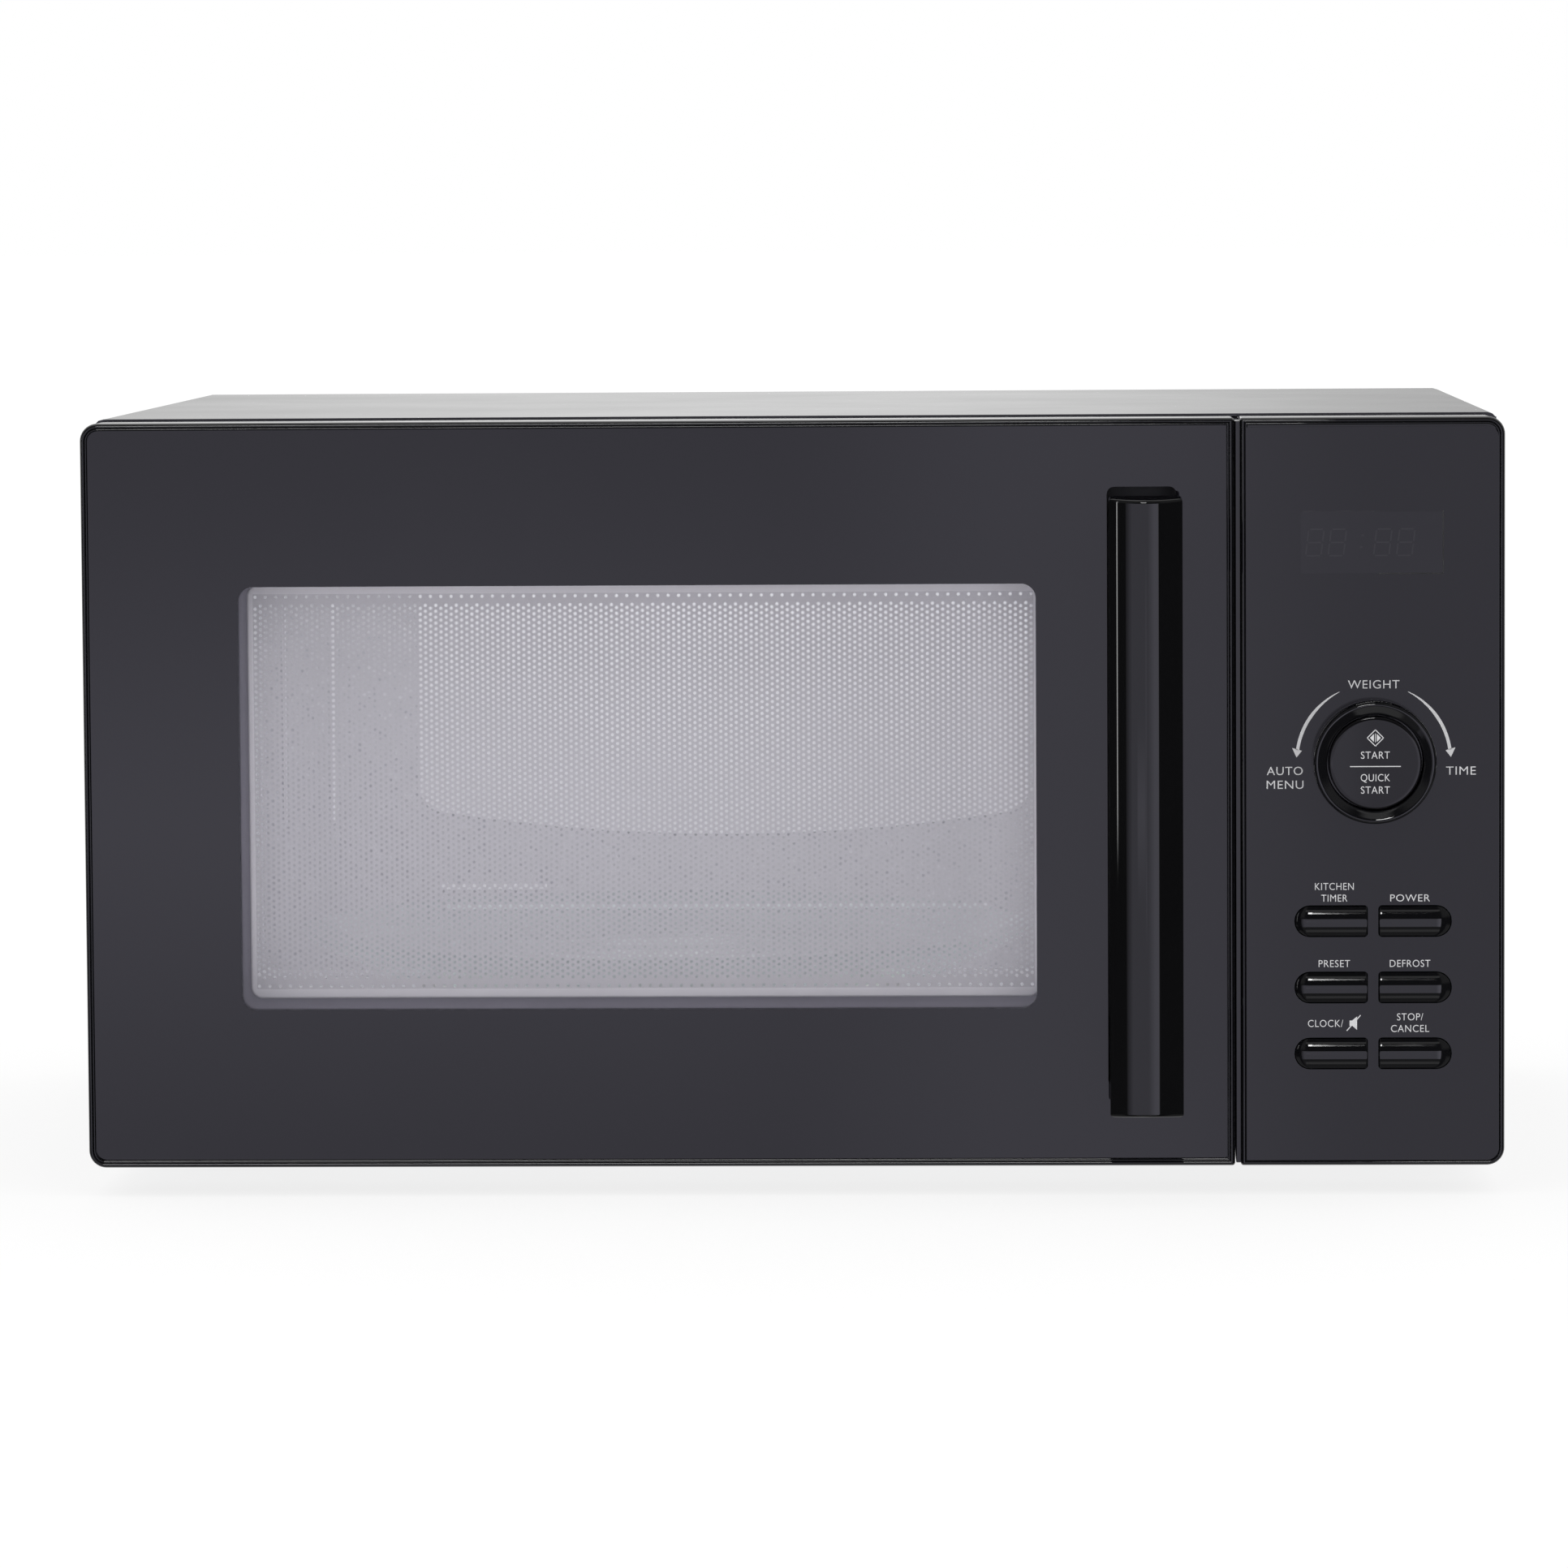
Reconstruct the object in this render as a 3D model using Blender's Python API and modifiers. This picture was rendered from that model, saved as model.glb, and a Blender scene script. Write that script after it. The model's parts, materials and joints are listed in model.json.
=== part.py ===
"""Countertop microwave oven as an assembly of separate pieces.

Metres, +Z up. The front faces -Y, the door hangs on the left and the controls are on the right.
The origin lies under the middle of the oven, on the surface that its feet stand on.
"""

import math

import bmesh
import bpy
from mathutils import Matrix, Vector

# ---- Driving dimensions ---------------------------------------------------------------------

WIDTH = 0.4850
FRONT_BOTTOM = 0.0100
FRONT_TOP = 0.2655
HANDLE_FRONT = -0.2100
GLASS_FRONT = -0.1740
GLASS_BACK = -0.1708
RIM_FRONT = -0.1738
WEB_FRONT = -0.1705
WEB_BACK = -0.1685
FRONT_BACK = -0.1405
PLATE_FRONT = -0.1400
PLATE_BACK = -0.1388
CASE_FRONT = -0.1385
CASE_BACK = 0.2100
CASE_TOP = 0.2660

GAP = 0.0003
SHEET = 0.0010

DOOR_LEFT = -WIDTH / 2
DOOR_RIGHT = 0.1507
PANEL_LEFT = 0.1526
PANEL_RIGHT = WIDTH / 2
HINGE_X = -0.2340
HINGE_Y = -0.1520
HINGE_PIN = 0.0025
HINGE_ARM_BOTTOM = 0.0140
HINGE_ARM_TOP = 0.2575
HINGE_ARM_THICKNESS = 0.0040

CAVITY_LOW = Vector((-0.2190, CASE_FRONT, 0.0400))
CAVITY_HIGH = Vector((0.1130, 0.1990, 0.2460))
TURNTABLE_X = -0.0530
TURNTABLE_Y = 0.0300
TRAY_RADIUS = 0.1350
ROLLER_RADIUS = 0.0090
ROLLER_TRACK = 0.0945
ROLLER_AXLE_Z = CAVITY_LOW.z + SHEET + GAP + ROLLER_RADIUS

POCKET_LEFT = 0.1074
POCKET_RIGHT = 0.1311
POCKET_BOTTOM = 0.0372
POCKET_TOP = 0.2423
POCKET_FLOOR = -0.1532
WINDOW_LEFT = -0.1890
WINDOW_RIGHT = 0.0832
WINDOW_BOTTOM = 0.0644
WINDOW_TOP = 0.2095

DIAL_X = 0.1979
DIAL_Z = 0.1488
DIAL_RADIUS = 0.0210
BUTTON_COLUMNS = (0.1834, 0.21195)
BUTTON_ROWS = (0.0939, 0.0712, 0.0486)
BUTTON_WIDTH = 0.0243
BUTTON_HEIGHT = 0.0102
BUTTON_NAMES = (
    ("kitchen_timer_button", "power_button"),
    ("preset_button", "defrost_button"),
    ("clock_button", "stop_button"),
)

LATCH_X = 0.1375
LATCH_HOOKS = (0.0730, 0.1930)
FAN_X = 0.1800
FAN_Z = 0.1750
MAGNETRON_Y = 0.0600
MAGNETRON_Z = 0.1600
LAMP_Y = -0.0600
LAMP_Z = 0.2000
GLAND_X = 0.2000
GLAND_Z = 0.0500
FOOT_HEIGHT = 0.0102
FOOT_PLACES = {
    "foot_front_left": (-0.2050, -0.0800),
    "foot_front_right": (0.2050, -0.0800),
    "foot_rear_left": (-0.2050, 0.1700),
    "foot_rear_right": (0.2050, 0.1700),
}

QUARTER = math.pi / 2
AXIS_TURN = {
    "+X": (0.0, QUARTER, 0.0),
    "+Y": (-QUARTER, 0.0, 0.0),
    "-Y": (QUARTER, 0.0, 0.0),
    "+Z": (0.0, 0.0, 0.0),
}
OUTLINE_TURN = {
    "X": (QUARTER, 0.0, QUARTER),
    "Y": (QUARTER, 0.0, 0.0),
    "Z": (0.0, 0.0, 0.0),
}


# ---- Scene, materials and modelling helpers --------------------------------------------------


def clear_scene():
    for obj in list(bpy.data.objects):
        bpy.data.objects.remove(obj, do_unlink=True)


def new_collection(name):
    collection = bpy.data.collections.new(name)
    bpy.context.scene.collection.children.link(collection)
    return collection


def paint(name, colour, roughness, metallic=0.0, transmission=0.0):
    material = bpy.data.materials.new(name)
    material.use_nodes = True
    shader = material.node_tree.nodes["Principled BSDF"]
    shader.inputs["Base Color"].default_value = (*colour, 1.0)
    shader.inputs["Roughness"].default_value = roughness
    shader.inputs["Metallic"].default_value = metallic
    shader.inputs["Transmission Weight"].default_value = transmission
    return material


def make_paints():
    return {
        "case": paint("case_black", (0.012, 0.012, 0.014), 0.25, 0.3),
        "gloss": paint("gloss_black", (0.004, 0.004, 0.005), 0.08),
        "matte": paint("matte_black", (0.010, 0.010, 0.011), 0.6),
        "face": paint("face_glass", (0.018, 0.017, 0.021), 0.05),
        "glass": paint("clear_glass", (0.90, 0.92, 0.92), 0.03, 0.0, 0.9),
        "enamel": paint("cavity_enamel", (0.45, 0.45, 0.47), 0.35),
        "zinc": paint("zinc_steel", (0.55, 0.56, 0.58), 0.35, 1.0),
        "steel": paint("bright_steel", (0.60, 0.60, 0.62), 0.25, 1.0),
        "copper": paint("winding", (0.45, 0.18, 0.07), 0.4, 0.6),
        "board": paint("circuit_board", (0.03, 0.12, 0.05), 0.5),
        "white": paint("white_plastic", (0.70, 0.70, 0.68), 0.45),
        "mica": paint("mica", (0.50, 0.42, 0.32), 0.6),
        "rubber": paint("rubber", (0.02, 0.02, 0.02), 0.8),
    }


def add_object(name, mesh, material):
    obj = bpy.data.objects.new(name, mesh)
    if material:
        mesh.materials.append(PAINTS[material])
    PARTS.objects.link(obj)
    return obj


def round_edges(bm, axis, radius, segments, side):
    """Rounds a cube's edges along one axis. With a side, only the edges that lie towards it."""
    direction = Vector([float(letter == axis) for letter in "XYZ"])
    chosen = []
    for edge in bm.edges:
        first, second = edge.verts
        along = (second.co - first.co).normalized()
        middle = (first.co + second.co) / 2
        if abs(along.dot(direction)) > 0.99 and (side is None or middle.dot(side) > 0):
            chosen.append(edge)
    bmesh.ops.bevel(
        bm, geom=chosen, offset=radius, segments=segments, profile=0.5, affect="EDGES"
    )


def cube(low, high):
    """A bmesh cube between two corners, about its own middle, and that middle."""
    low, high = Vector(low), Vector(high)
    bm = bmesh.new()
    bmesh.ops.create_cube(bm, size=1.0)
    bmesh.ops.scale(bm, vec=high - low, verts=bm.verts)
    return bm, (low + high) / 2


def box(name, low, high, material=None, rounded=None, radius=0.0, segments=3, side=None):
    bm, middle = cube(low, high)
    if rounded:
        round_edges(bm, rounded, radius, segments, side)
    mesh = bpy.data.meshes.new(name)
    bm.to_mesh(mesh)
    bm.free()
    obj = add_object(name, mesh, material)
    obj.location = middle
    return obj


def shell(name, low, high, open_sides, thickness, material, rounded=None, radius=0.0, side=None):
    """A box of sheet with some sides left out. The sheet lies inside the two corners."""
    bm, middle = cube(low, high)
    if rounded:
        round_edges(bm, rounded, radius, 3, side)
    bm.normal_update()
    missing = [
        face for face in bm.faces if any(face.normal.dot(Vector(s)) > 0.99 for s in open_sides)
    ]
    bmesh.ops.delete(bm, geom=missing, context="FACES")
    mesh = bpy.data.meshes.new(name)
    bm.to_mesh(mesh)
    bm.free()
    obj = add_object(name, mesh, material)
    obj.location = middle
    solidify = obj.modifiers.new("Sheet", "SOLIDIFY")
    solidify.thickness = thickness
    solidify.offset = -1.0
    solidify.use_even_offset = True
    return obj


def boxes(name, corners):
    """Several boxes in one mesh, as a cutter."""
    bm = bmesh.new()
    for low, high in corners:
        low, high = Vector(low), Vector(high)
        made = bmesh.ops.create_cube(bm, size=1.0)
        bmesh.ops.scale(bm, vec=high - low, verts=made["verts"])
        bmesh.ops.translate(bm, vec=(low + high) / 2, verts=made["verts"])
    mesh = bpy.data.meshes.new(name)
    bm.to_mesh(mesh)
    bm.free()
    return add_object(name, mesh, None)


def rod(name, radius, start, length, axis, material=None, segments=24):
    """A cylinder from start, running length along axis."""
    bm = bmesh.new()
    bmesh.ops.create_cone(
        bm, cap_ends=True, segments=segments, radius1=radius, radius2=radius, depth=length
    )
    bmesh.ops.translate(bm, vec=(0.0, 0.0, length / 2), verts=bm.verts)
    mesh = bpy.data.meshes.new(name)
    bm.to_mesh(mesh)
    bm.free()
    smooth_shade(mesh)
    obj = add_object(name, mesh, material)
    obj.location = start
    obj.rotation_euler = AXIS_TURN[axis]
    return obj


def smooth_shade(mesh):
    mesh.shade_smooth()
    mesh.set_sharp_from_angle(angle=math.radians(35))


def turned(name, profile, location, axis, material, steps=48, closed=False):
    """A profile of (radius, height) points, from top to bottom down its outer side, turned round."""
    mesh = bpy.data.meshes.new(name)
    points = [(radius, 0.0, height) for radius, height in profile]
    links = [(i, i + 1) for i in range(len(points) - 1)]
    if closed:
        links.append((len(points) - 1, 0))
    mesh.from_pydata(points, links, [])
    obj = add_object(name, mesh, material)
    obj.location = location
    obj.rotation_euler = AXIS_TURN[axis]
    screw = obj.modifiers.new("Turn", "SCREW")
    screw.steps = steps
    screw.render_steps = steps
    screw.use_merge_vertices = True
    screw.merge_threshold = 0.00001
    screw.use_smooth_shade = True
    return obj


def mesh_of_curve(curve_object, name, material):
    """Turns a curve object into a mesh object whose caps are welded."""
    graph = bpy.context.evaluated_depsgraph_get()
    mesh = bpy.data.meshes.new_from_object(curve_object.evaluated_get(graph))
    bm = bmesh.new()
    bm.from_mesh(mesh)
    bmesh.ops.remove_doubles(bm, verts=bm.verts, dist=0.000005)
    bmesh.ops.recalc_face_normals(bm, faces=bm.faces)
    bm.to_mesh(mesh)
    bm.free()
    mesh.materials.clear()
    smooth_shade(mesh)
    obj = add_object(name, mesh, material)
    obj.matrix_world = curve_object.matrix_world
    bpy.data.objects.remove(curve_object, do_unlink=True)
    return obj


def prism(name, outline, axis, start, end, material=None):
    """A flat outline made solid between two places on an axis.

    The outline is in (y, z) for axis X, in (x, z) for axis Y and in (x, y) for axis Z.
    """
    curve = bpy.data.curves.new(name + "_outline", "CURVE")
    curve.dimensions = "2D"
    curve.fill_mode = "BOTH"
    curve.extrude = (end - start) / 2
    spline = curve.splines.new("POLY")
    spline.points.add(len(outline) - 1)
    for point, (u, v) in zip(spline.points, outline):
        point.co = (u, v, 0.0, 1.0)
    spline.use_cyclic_u = True
    holder = bpy.data.objects.new(name + "_outline", curve)
    PARTS.objects.link(holder)
    middle = (start + end) / 2
    holder.location = [middle * float(letter == axis) for letter in "XYZ"]
    holder.rotation_euler = OUTLINE_TURN[axis]
    bpy.context.view_layer.update()
    return mesh_of_curve(holder, name, material)


def arc(centre, radius, first, last, steps):
    """Points on an arc, from the first angle to the last, in degrees."""
    points = []
    for i in range(steps + 1):
        angle = math.radians(first + (last - first) * i / steps)
        points.append((centre[0] + radius * math.cos(angle), centre[1] + radius * math.sin(angle)))
    return points


def rounded_rectangle(left, right, bottom, top, left_radius, right_radius, steps=5):
    """An outline whose two left corners share a radius, and whose two right corners share one."""
    low_left = (left + left_radius, bottom + left_radius)
    low_right = (right - right_radius, bottom + right_radius)
    high_right = (right - right_radius, top - right_radius)
    high_left = (left + left_radius, top - left_radius)
    return (
        arc(low_left, left_radius, 180, 270, steps)
        + arc(low_right, right_radius, 270, 360, steps)
        + arc(high_right, right_radius, 0, 90, steps)
        + arc(high_left, left_radius, 90, 180, steps)
    )


def hide_tool(tool):
    if tool.name in PARTS.objects:
        PARTS.objects.unlink(tool)
        CUTTERS.objects.link(tool)
    tool.hide_render = True
    tool.display_type = "WIRE"


def combine(target, operation, tools):
    for tool in tools:
        boolean = target.modifiers.new(operation.title(), "BOOLEAN")
        boolean.operation = operation
        boolean.object = tool
        hide_tool(tool)
    return target


def cut(target, *tools):
    return combine(target, "DIFFERENCE", tools)


def merge(target, *tools):
    return combine(target, "UNION", tools)


def soften(obj, width):
    bevel = obj.modifiers.new("Soften", "BEVEL")
    bevel.width = width
    bevel.segments = 2
    bevel.limit_method = "ANGLE"
    bevel.angle_limit = math.radians(50)
    return obj


def pivot(name, location, *children):
    """An empty on a joint's axis, with the pieces that move about it."""
    empty = bpy.data.objects.new(name, None)
    empty.empty_display_size = 0.02
    PARTS.objects.link(empty)
    empty.location = location
    for child in children:
        child.parent = empty
        child.matrix_parent_inverse = Matrix.Translation(-Vector(location))


# ---- Case -----------------------------------------------------------------------------------


def side_slots(x, first_y, count, pitch, bottom, top):
    """Upright ventilation slots through a side wall."""
    corners = []
    for i in range(count):
        y = first_y + i * pitch
        corners.append(((x - 0.003, y, bottom), (x + 0.003, y + pitch * 0.4, top)))
    return corners


def make_outer_cover():
    cover = shell(
        "outer_cover",
        (-0.2420, CASE_FRONT, 0.0115),
        (0.2420, CASE_BACK, CASE_TOP),
        ((0, -1, 0), (0, 1, 0), (0, 0, -1)),
        SHEET,
        "case",
        rounded="Y",
        radius=0.0035,
        side=Vector((0, 0, 1)),
    )
    left = side_slots(-0.2420, 0.0900, 12, 0.0080, 0.1900, 0.2250)
    right = side_slots(0.2420, 0.0100, 12, 0.0080, 0.1300, 0.1650)
    low = side_slots(0.2420, -0.0700, 12, 0.0080, 0.0350, 0.0600)
    return cut(cover, boxes("cover_slots", left + right + low))


def make_base_plate():
    base = shell(
        "base_plate",
        (-0.2405, -0.1383, 0.0105),
        (0.2405, 0.2060, 0.0225),
        ((0, 0, 1),),
        SHEET,
        "zinc",
    )
    slots = []
    for i in range(8):
        x = 0.1300 + i * 0.0110
        slots.append(((x, 0.1050, 0.0090), (x + 0.0050, 0.1450, 0.0130)))
    return cut(base, boxes("base_slots", slots))


def make_back_panel():
    panel = box(
        "back_panel",
        (-0.2405, 0.2068, 0.0125),
        (0.2405, 0.2080, 0.2635),
        "zinc",
        rounded="Y",
        radius=0.0022,
    )
    slots = []
    for column in range(4):
        for row in range(9):
            x = 0.1380 + column * 0.0220
            z = 0.1340 + row * 0.0090
            slots.append(((x, 0.2050, z), (x + 0.0180, 0.2100, z + 0.0040)))
    for row in range(6):
        z = 0.1900 + row * 0.0090
        slots.append(((-0.1600, 0.2050, z), (-0.0800, 0.2100, z + 0.0040)))
    gland_hole = rod("gland_hole", 0.0073, (GLAND_X, 0.2050, GLAND_Z), 0.0050, "+Y", segments=20)
    return cut(panel, boxes("back_slots", slots), gland_hole)


def make_front_plate():
    plate = box(
        "front_plate", (-0.2415, PLATE_FRONT, 0.0120), (0.2415, PLATE_BACK, 0.2645), "case"
    )
    mouth = prism(
        "mouth_cut",
        rounded_rectangle(-0.2170, 0.1110, 0.0420, 0.2440, 0.0060, 0.0060, 3),
        "Y",
        -0.1450,
        -0.1350,
    )
    openings = [((0.1700, -0.1450, 0.0600), (0.2300, -0.1350, 0.2350))]
    for hook_bottom in LATCH_HOOKS:
        low = (LATCH_X - 0.0040, -0.1450, hook_bottom - 0.0050)
        high = (LATCH_X + 0.0040, -0.1350, hook_bottom + 0.0170)
        openings.append((low, high))
    return cut(plate, mouth, boxes("plate_openings", openings))


def make_feet():
    profile = (
        (0.0, FOOT_HEIGHT),
        (0.0110, FOOT_HEIGHT),
        (0.0110, 0.0070),
        (0.0098, 0.0008),
        (0.0090, 0.0),
        (0.0, 0.0),
    )
    for name, (x, y) in FOOT_PLACES.items():
        turned(name, profile, (x, y, 0.0), "+Z", "rubber", steps=24)


def make_hinge(name, arm_bottom, pin_bottom):
    """An arm that stands out of the front plate, with an upright pin for the door to turn on."""
    half = 0.0050
    low = (HINGE_X - half, HINGE_Y, arm_bottom)
    high = (HINGE_X + half, PLATE_FRONT - GAP, arm_bottom + HINGE_ARM_THICKNESS)
    arm = box(name, low, high, "zinc")
    knuckle = rod(
        name + "_knuckle",
        half,
        (HINGE_X, HINGE_Y, arm_bottom),
        HINGE_ARM_THICKNESS,
        "+Z",
    )
    pin = rod(name + "_pin", HINGE_PIN, (HINGE_X, HINGE_Y, pin_bottom), 0.0170, "+Z", segments=20)
    return merge(arm, knuckle, pin)


def make_hinges():
    make_hinge("lower_hinge", HINGE_ARM_BOTTOM, HINGE_ARM_BOTTOM + 0.0010)
    make_hinge("upper_hinge", HINGE_ARM_TOP, HINGE_ARM_TOP - 0.0140)


def make_cord_gland():
    profile = (
        (0.0035, 0.0018),
        (0.0092, 0.0018),
        (0.0100, 0.0012),
        (0.0100, GAP),
        (0.0070, GAP),
        (0.0070, -0.0120),
        (0.0035, -0.0120),
    )
    turned("cord_gland", profile, (GLAND_X, 0.2080, GLAND_Z), "+Y", "matte", 24, closed=True)


# ---- Cavity and what turns in it ---------------------------------------------------------------


def lamp_holes():
    corners = []
    for column in range(4):
        for row in range(4):
            y = LAMP_Y - 0.0105 + column * 0.0060
            z = LAMP_Z - 0.0105 + row * 0.0060
            corners.append(((0.1080, y, z), (0.1170, y + 0.0030, z + 0.0030)))
    return corners


def make_oven_cavity():
    cavity = shell(
        "oven_cavity",
        CAVITY_LOW,
        CAVITY_HIGH,
        ((0, -1, 0),),
        SHEET,
        "enamel",
        rounded="Y",
        radius=0.0060,
    )
    shaft_hole = rod(
        "shaft_hole", 0.0070, (TURNTABLE_X, TURNTABLE_Y, 0.0350), 0.0100, "+Z", segments=20
    )
    openings = lamp_holes()
    openings.append(((0.1080, 0.0220, 0.1370), (0.1170, 0.0930, 0.2030)))
    for i in range(6):
        y = 0.1000 + i * 0.0100
        openings.append(((-0.2230, y, 0.1900), (-0.2140, y + 0.0040, 0.2250)))
    return cut(cavity, shaft_hole, boxes("cavity_openings", openings))


def make_waveguide():
    guide = shell(
        "waveguide",
        (CAVITY_HIGH.x + GAP, 0.0100, 0.1100),
        (0.1335, 0.1100, 0.2130),
        ((-1, 0, 0),),
        SHEET,
        "zinc",
    )
    hole = rod(
        "antenna_hole", 0.0120, (0.1280, MAGNETRON_Y, MAGNETRON_Z), 0.0100, "+X", segments=20
    )
    cut(guide, hole)
    box("waveguide_cover", (0.1110, 0.0180, 0.1320), (0.1117, 0.0980, 0.2080), "mica")


def make_lamp():
    housing = shell(
        "lamp_housing",
        (CAVITY_HIGH.x + GAP, LAMP_Y - 0.0200, LAMP_Z - 0.0200),
        (0.1400, LAMP_Y + 0.0200, LAMP_Z + 0.0200),
        ((-1, 0, 0),),
        SHEET,
        "zinc",
    )
    cut(housing, rod("lamp_hole", 0.0075, (0.1360, LAMP_Y, LAMP_Z), 0.0080, "+X", segments=20))
    profile = (
        (0.0, 0.0360),
        (0.0070, 0.0360),
        (0.0070, 0.0200),
        (0.0100, 0.0160),
        (0.0115, 0.0100),
        (0.0090, 0.0030),
        (0.0045, 0.0005),
        (0.0, 0.0),
    )
    turned("oven_lamp", profile, (0.1155, LAMP_Y, LAMP_Z), "+X", "glass", steps=24)


def make_turntable_motor():
    motor = rod("turntable_motor", 0.0245, (TURNTABLE_X, TURNTABLE_Y, 0.0220), 0.0177, "+Z", "zinc")
    ears = box(
        "motor_ears",
        (TURNTABLE_X - 0.0330, TURNTABLE_Y - 0.0060, 0.0377),
        (TURNTABLE_X + 0.0330, TURNTABLE_Y + 0.0060, 0.0395),
    )
    bore = rod(
        "motor_bore", 0.0043, (TURNTABLE_X, TURNTABLE_Y, 0.0270), 0.0200, "+Z", segments=20
    )
    merge(motor, ears)
    return cut(motor, bore)


def make_coupler():
    """The three-lobed driver between the motor's shaft and the tray."""
    lobes = []
    for i in range(36):
        angle = 2 * math.pi * i / 36
        radius = 0.0160 + 0.0035 * math.cos(3 * angle)
        x = TURNTABLE_X + radius * math.cos(angle)
        lobes.append((x, TURNTABLE_Y + radius * math.sin(angle)))
    hub = prism("turntable_coupler", lobes, "Z", 0.0440, 0.0592, "white")
    shaft = rod(
        "coupler_shaft", 0.0040, (TURNTABLE_X, TURNTABLE_Y, 0.0280), 0.0165, "+Z", segments=20
    )
    return merge(hub, shaft)


def make_tray():
    base = ROLLER_AXLE_Z + ROLLER_RADIUS + GAP
    profile = (
        (0.0, 0.0050),
        (0.1050, 0.0050),
        (0.1180, 0.0075),
        (0.1335, 0.0150),
        (TRAY_RADIUS, 0.0146),
        (TRAY_RADIUS, 0.0128),
        (0.1200, 0.0035),
        (0.1070, 0.0),
        (0.0, 0.0),
    )
    return turned("glass_tray", profile, (TURNTABLE_X, TURNTABLE_Y, base), "+Z", "glass", 48)


def make_roller_ring():
    profile = (
        (0.0800, 0.0040),
        (0.0880, 0.0040),
        (0.0880, -0.0040),
        (0.0800, -0.0040),
    )
    centre = Vector((TURNTABLE_X, TURNTABLE_Y, ROLLER_AXLE_Z))
    ring = turned("roller_ring", profile, centre, "+Z", "white", 48, closed=True)
    wheels = []
    for i in range(3):
        angle = math.radians(90 + 120 * i)
        outward = Vector((math.cos(angle), math.sin(angle), 0.0))
        turn = outward.to_track_quat("Z", "Y").to_euler()
        axle = rod("axle_tool", 0.0015, centre + outward * 0.0870, 0.0120, "+Z", segments=12)
        axle.rotation_euler = turn
        merge(ring, axle)
        profile = (
            (0.0018, 0.0030),
            (ROLLER_RADIUS, 0.0030),
            (ROLLER_RADIUS, -0.0030),
            (0.0018, -0.0030),
        )
        place = centre + outward * ROLLER_TRACK
        name = f"roller_wheel_{i + 1}"
        wheel = turned(name, profile, place, "+Z", "white", 24, closed=True)
        wheel.rotation_euler = turn
        wheels.append(wheel)
    return ring, wheels


def make_turntable():
    tray = make_tray()
    coupler = make_coupler()
    ring, wheels = make_roller_ring()
    pivot("turntable_pivot", (TURNTABLE_X, TURNTABLE_Y, 0.0), tray, coupler)
    pivot("ring_pivot", (TURNTABLE_X, TURNTABLE_Y, 0.0), ring, *wheels)


# ---- Machine bay ------------------------------------------------------------------------------


def make_magnetron():
    """Flange, cooling fins on the anode, yoke and filter box, with the antenna into the waveguide."""
    y0, y1 = MAGNETRON_Y - 0.0390, MAGNETRON_Y + 0.0390
    z0, z1 = MAGNETRON_Z - 0.0400, MAGNETRON_Z + 0.0400
    body = box("magnetron", (0.1338, y0, z0), (0.1358, y1, z1), "steel")
    anode = rod("anode", 0.0200, (0.1350, MAGNETRON_Y, MAGNETRON_Z), 0.0540, "+X")
    antenna = rod("antenna", 0.0080, (0.1200, MAGNETRON_Y, MAGNETRON_Z), 0.0145, "+X", segments=16)
    yoke = [
        ((0.1350, y0, z0), (0.1880, y1, z0 + 0.0016)),
        ((0.1350, y0, z1 - 0.0016), (0.1880, y1, z1)),
    ]
    fins = []
    for i in range(6):
        x = 0.1430 + i * 0.0070
        fins.append(((x, y0 + 0.0040, z0 + 0.0008), (x + 0.0008, y1 - 0.0040, z1 - 0.0008)))
    back = box("yoke_back", (0.1872, y0, z0), (0.1888, y1, z1))
    filter_box = box(
        "filter_box", (0.1880, y0 + 0.0100, z0 + 0.0120), (0.2130, y1 - 0.0100, z1 - 0.0120)
    )
    return merge(body, anode, antenna, boxes("yoke", yoke), back, boxes("fins", fins), filter_box)


def make_transformer():
    """A laminated core with two windows, and the winding round its middle leg."""
    left, right, bottom, top = 0.1300, 0.2100, 0.0118, 0.0778
    front, back = -0.0500, 0.0100
    core = box("transformer_core", (left, front, bottom), (right, back, top), "zinc")
    windows = []
    for inner, outer in ((left + 0.0270, left + 0.0130), (right - 0.0270, right - 0.0130)):
        low = (min(inner, outer), front - 0.01, bottom + 0.0130)
        windows.append((low, (max(inner, outer), back + 0.01, top - 0.0130)))
    cut(core, boxes("core_windows", windows))
    coil = box(
        "transformer_coil",
        (left + 0.0133, front - 0.0140, bottom + 0.0133),
        (right - 0.0133, back + 0.0140, top - 0.0133),
        "copper",
        rounded="Z",
        radius=0.0080,
    )
    leg = box(
        "coil_hole",
        (left + 0.0267, front - GAP, bottom),
        (right - 0.0267, back + GAP, top),
    )
    cut(coil, leg)


def make_high_voltage_parts():
    outline = rounded_rectangle(0.1240, 0.1760, 0.0500, 0.0840, 0.0165, 0.0165, 6)
    can = prism("hv_capacitor", outline, "Z", 0.0118, 0.0940, "zinc")
    posts = [
        ((0.1400, 0.0650, 0.0930), (0.1420, 0.0690, 0.1020)),
        ((0.1580, 0.0650, 0.0930), (0.1600, 0.0690, 0.1020)),
    ]
    merge(can, boxes("capacitor_tabs", posts))
    diode = rod("hv_diode", 0.0035, (0.1300, 0.1000, 0.0160), 0.0200, "+X", "matte", 16)
    merge(diode, box("diode_tab", (0.1480, 0.0975, 0.0150), (0.1650, 0.1025, 0.0160)))


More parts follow.
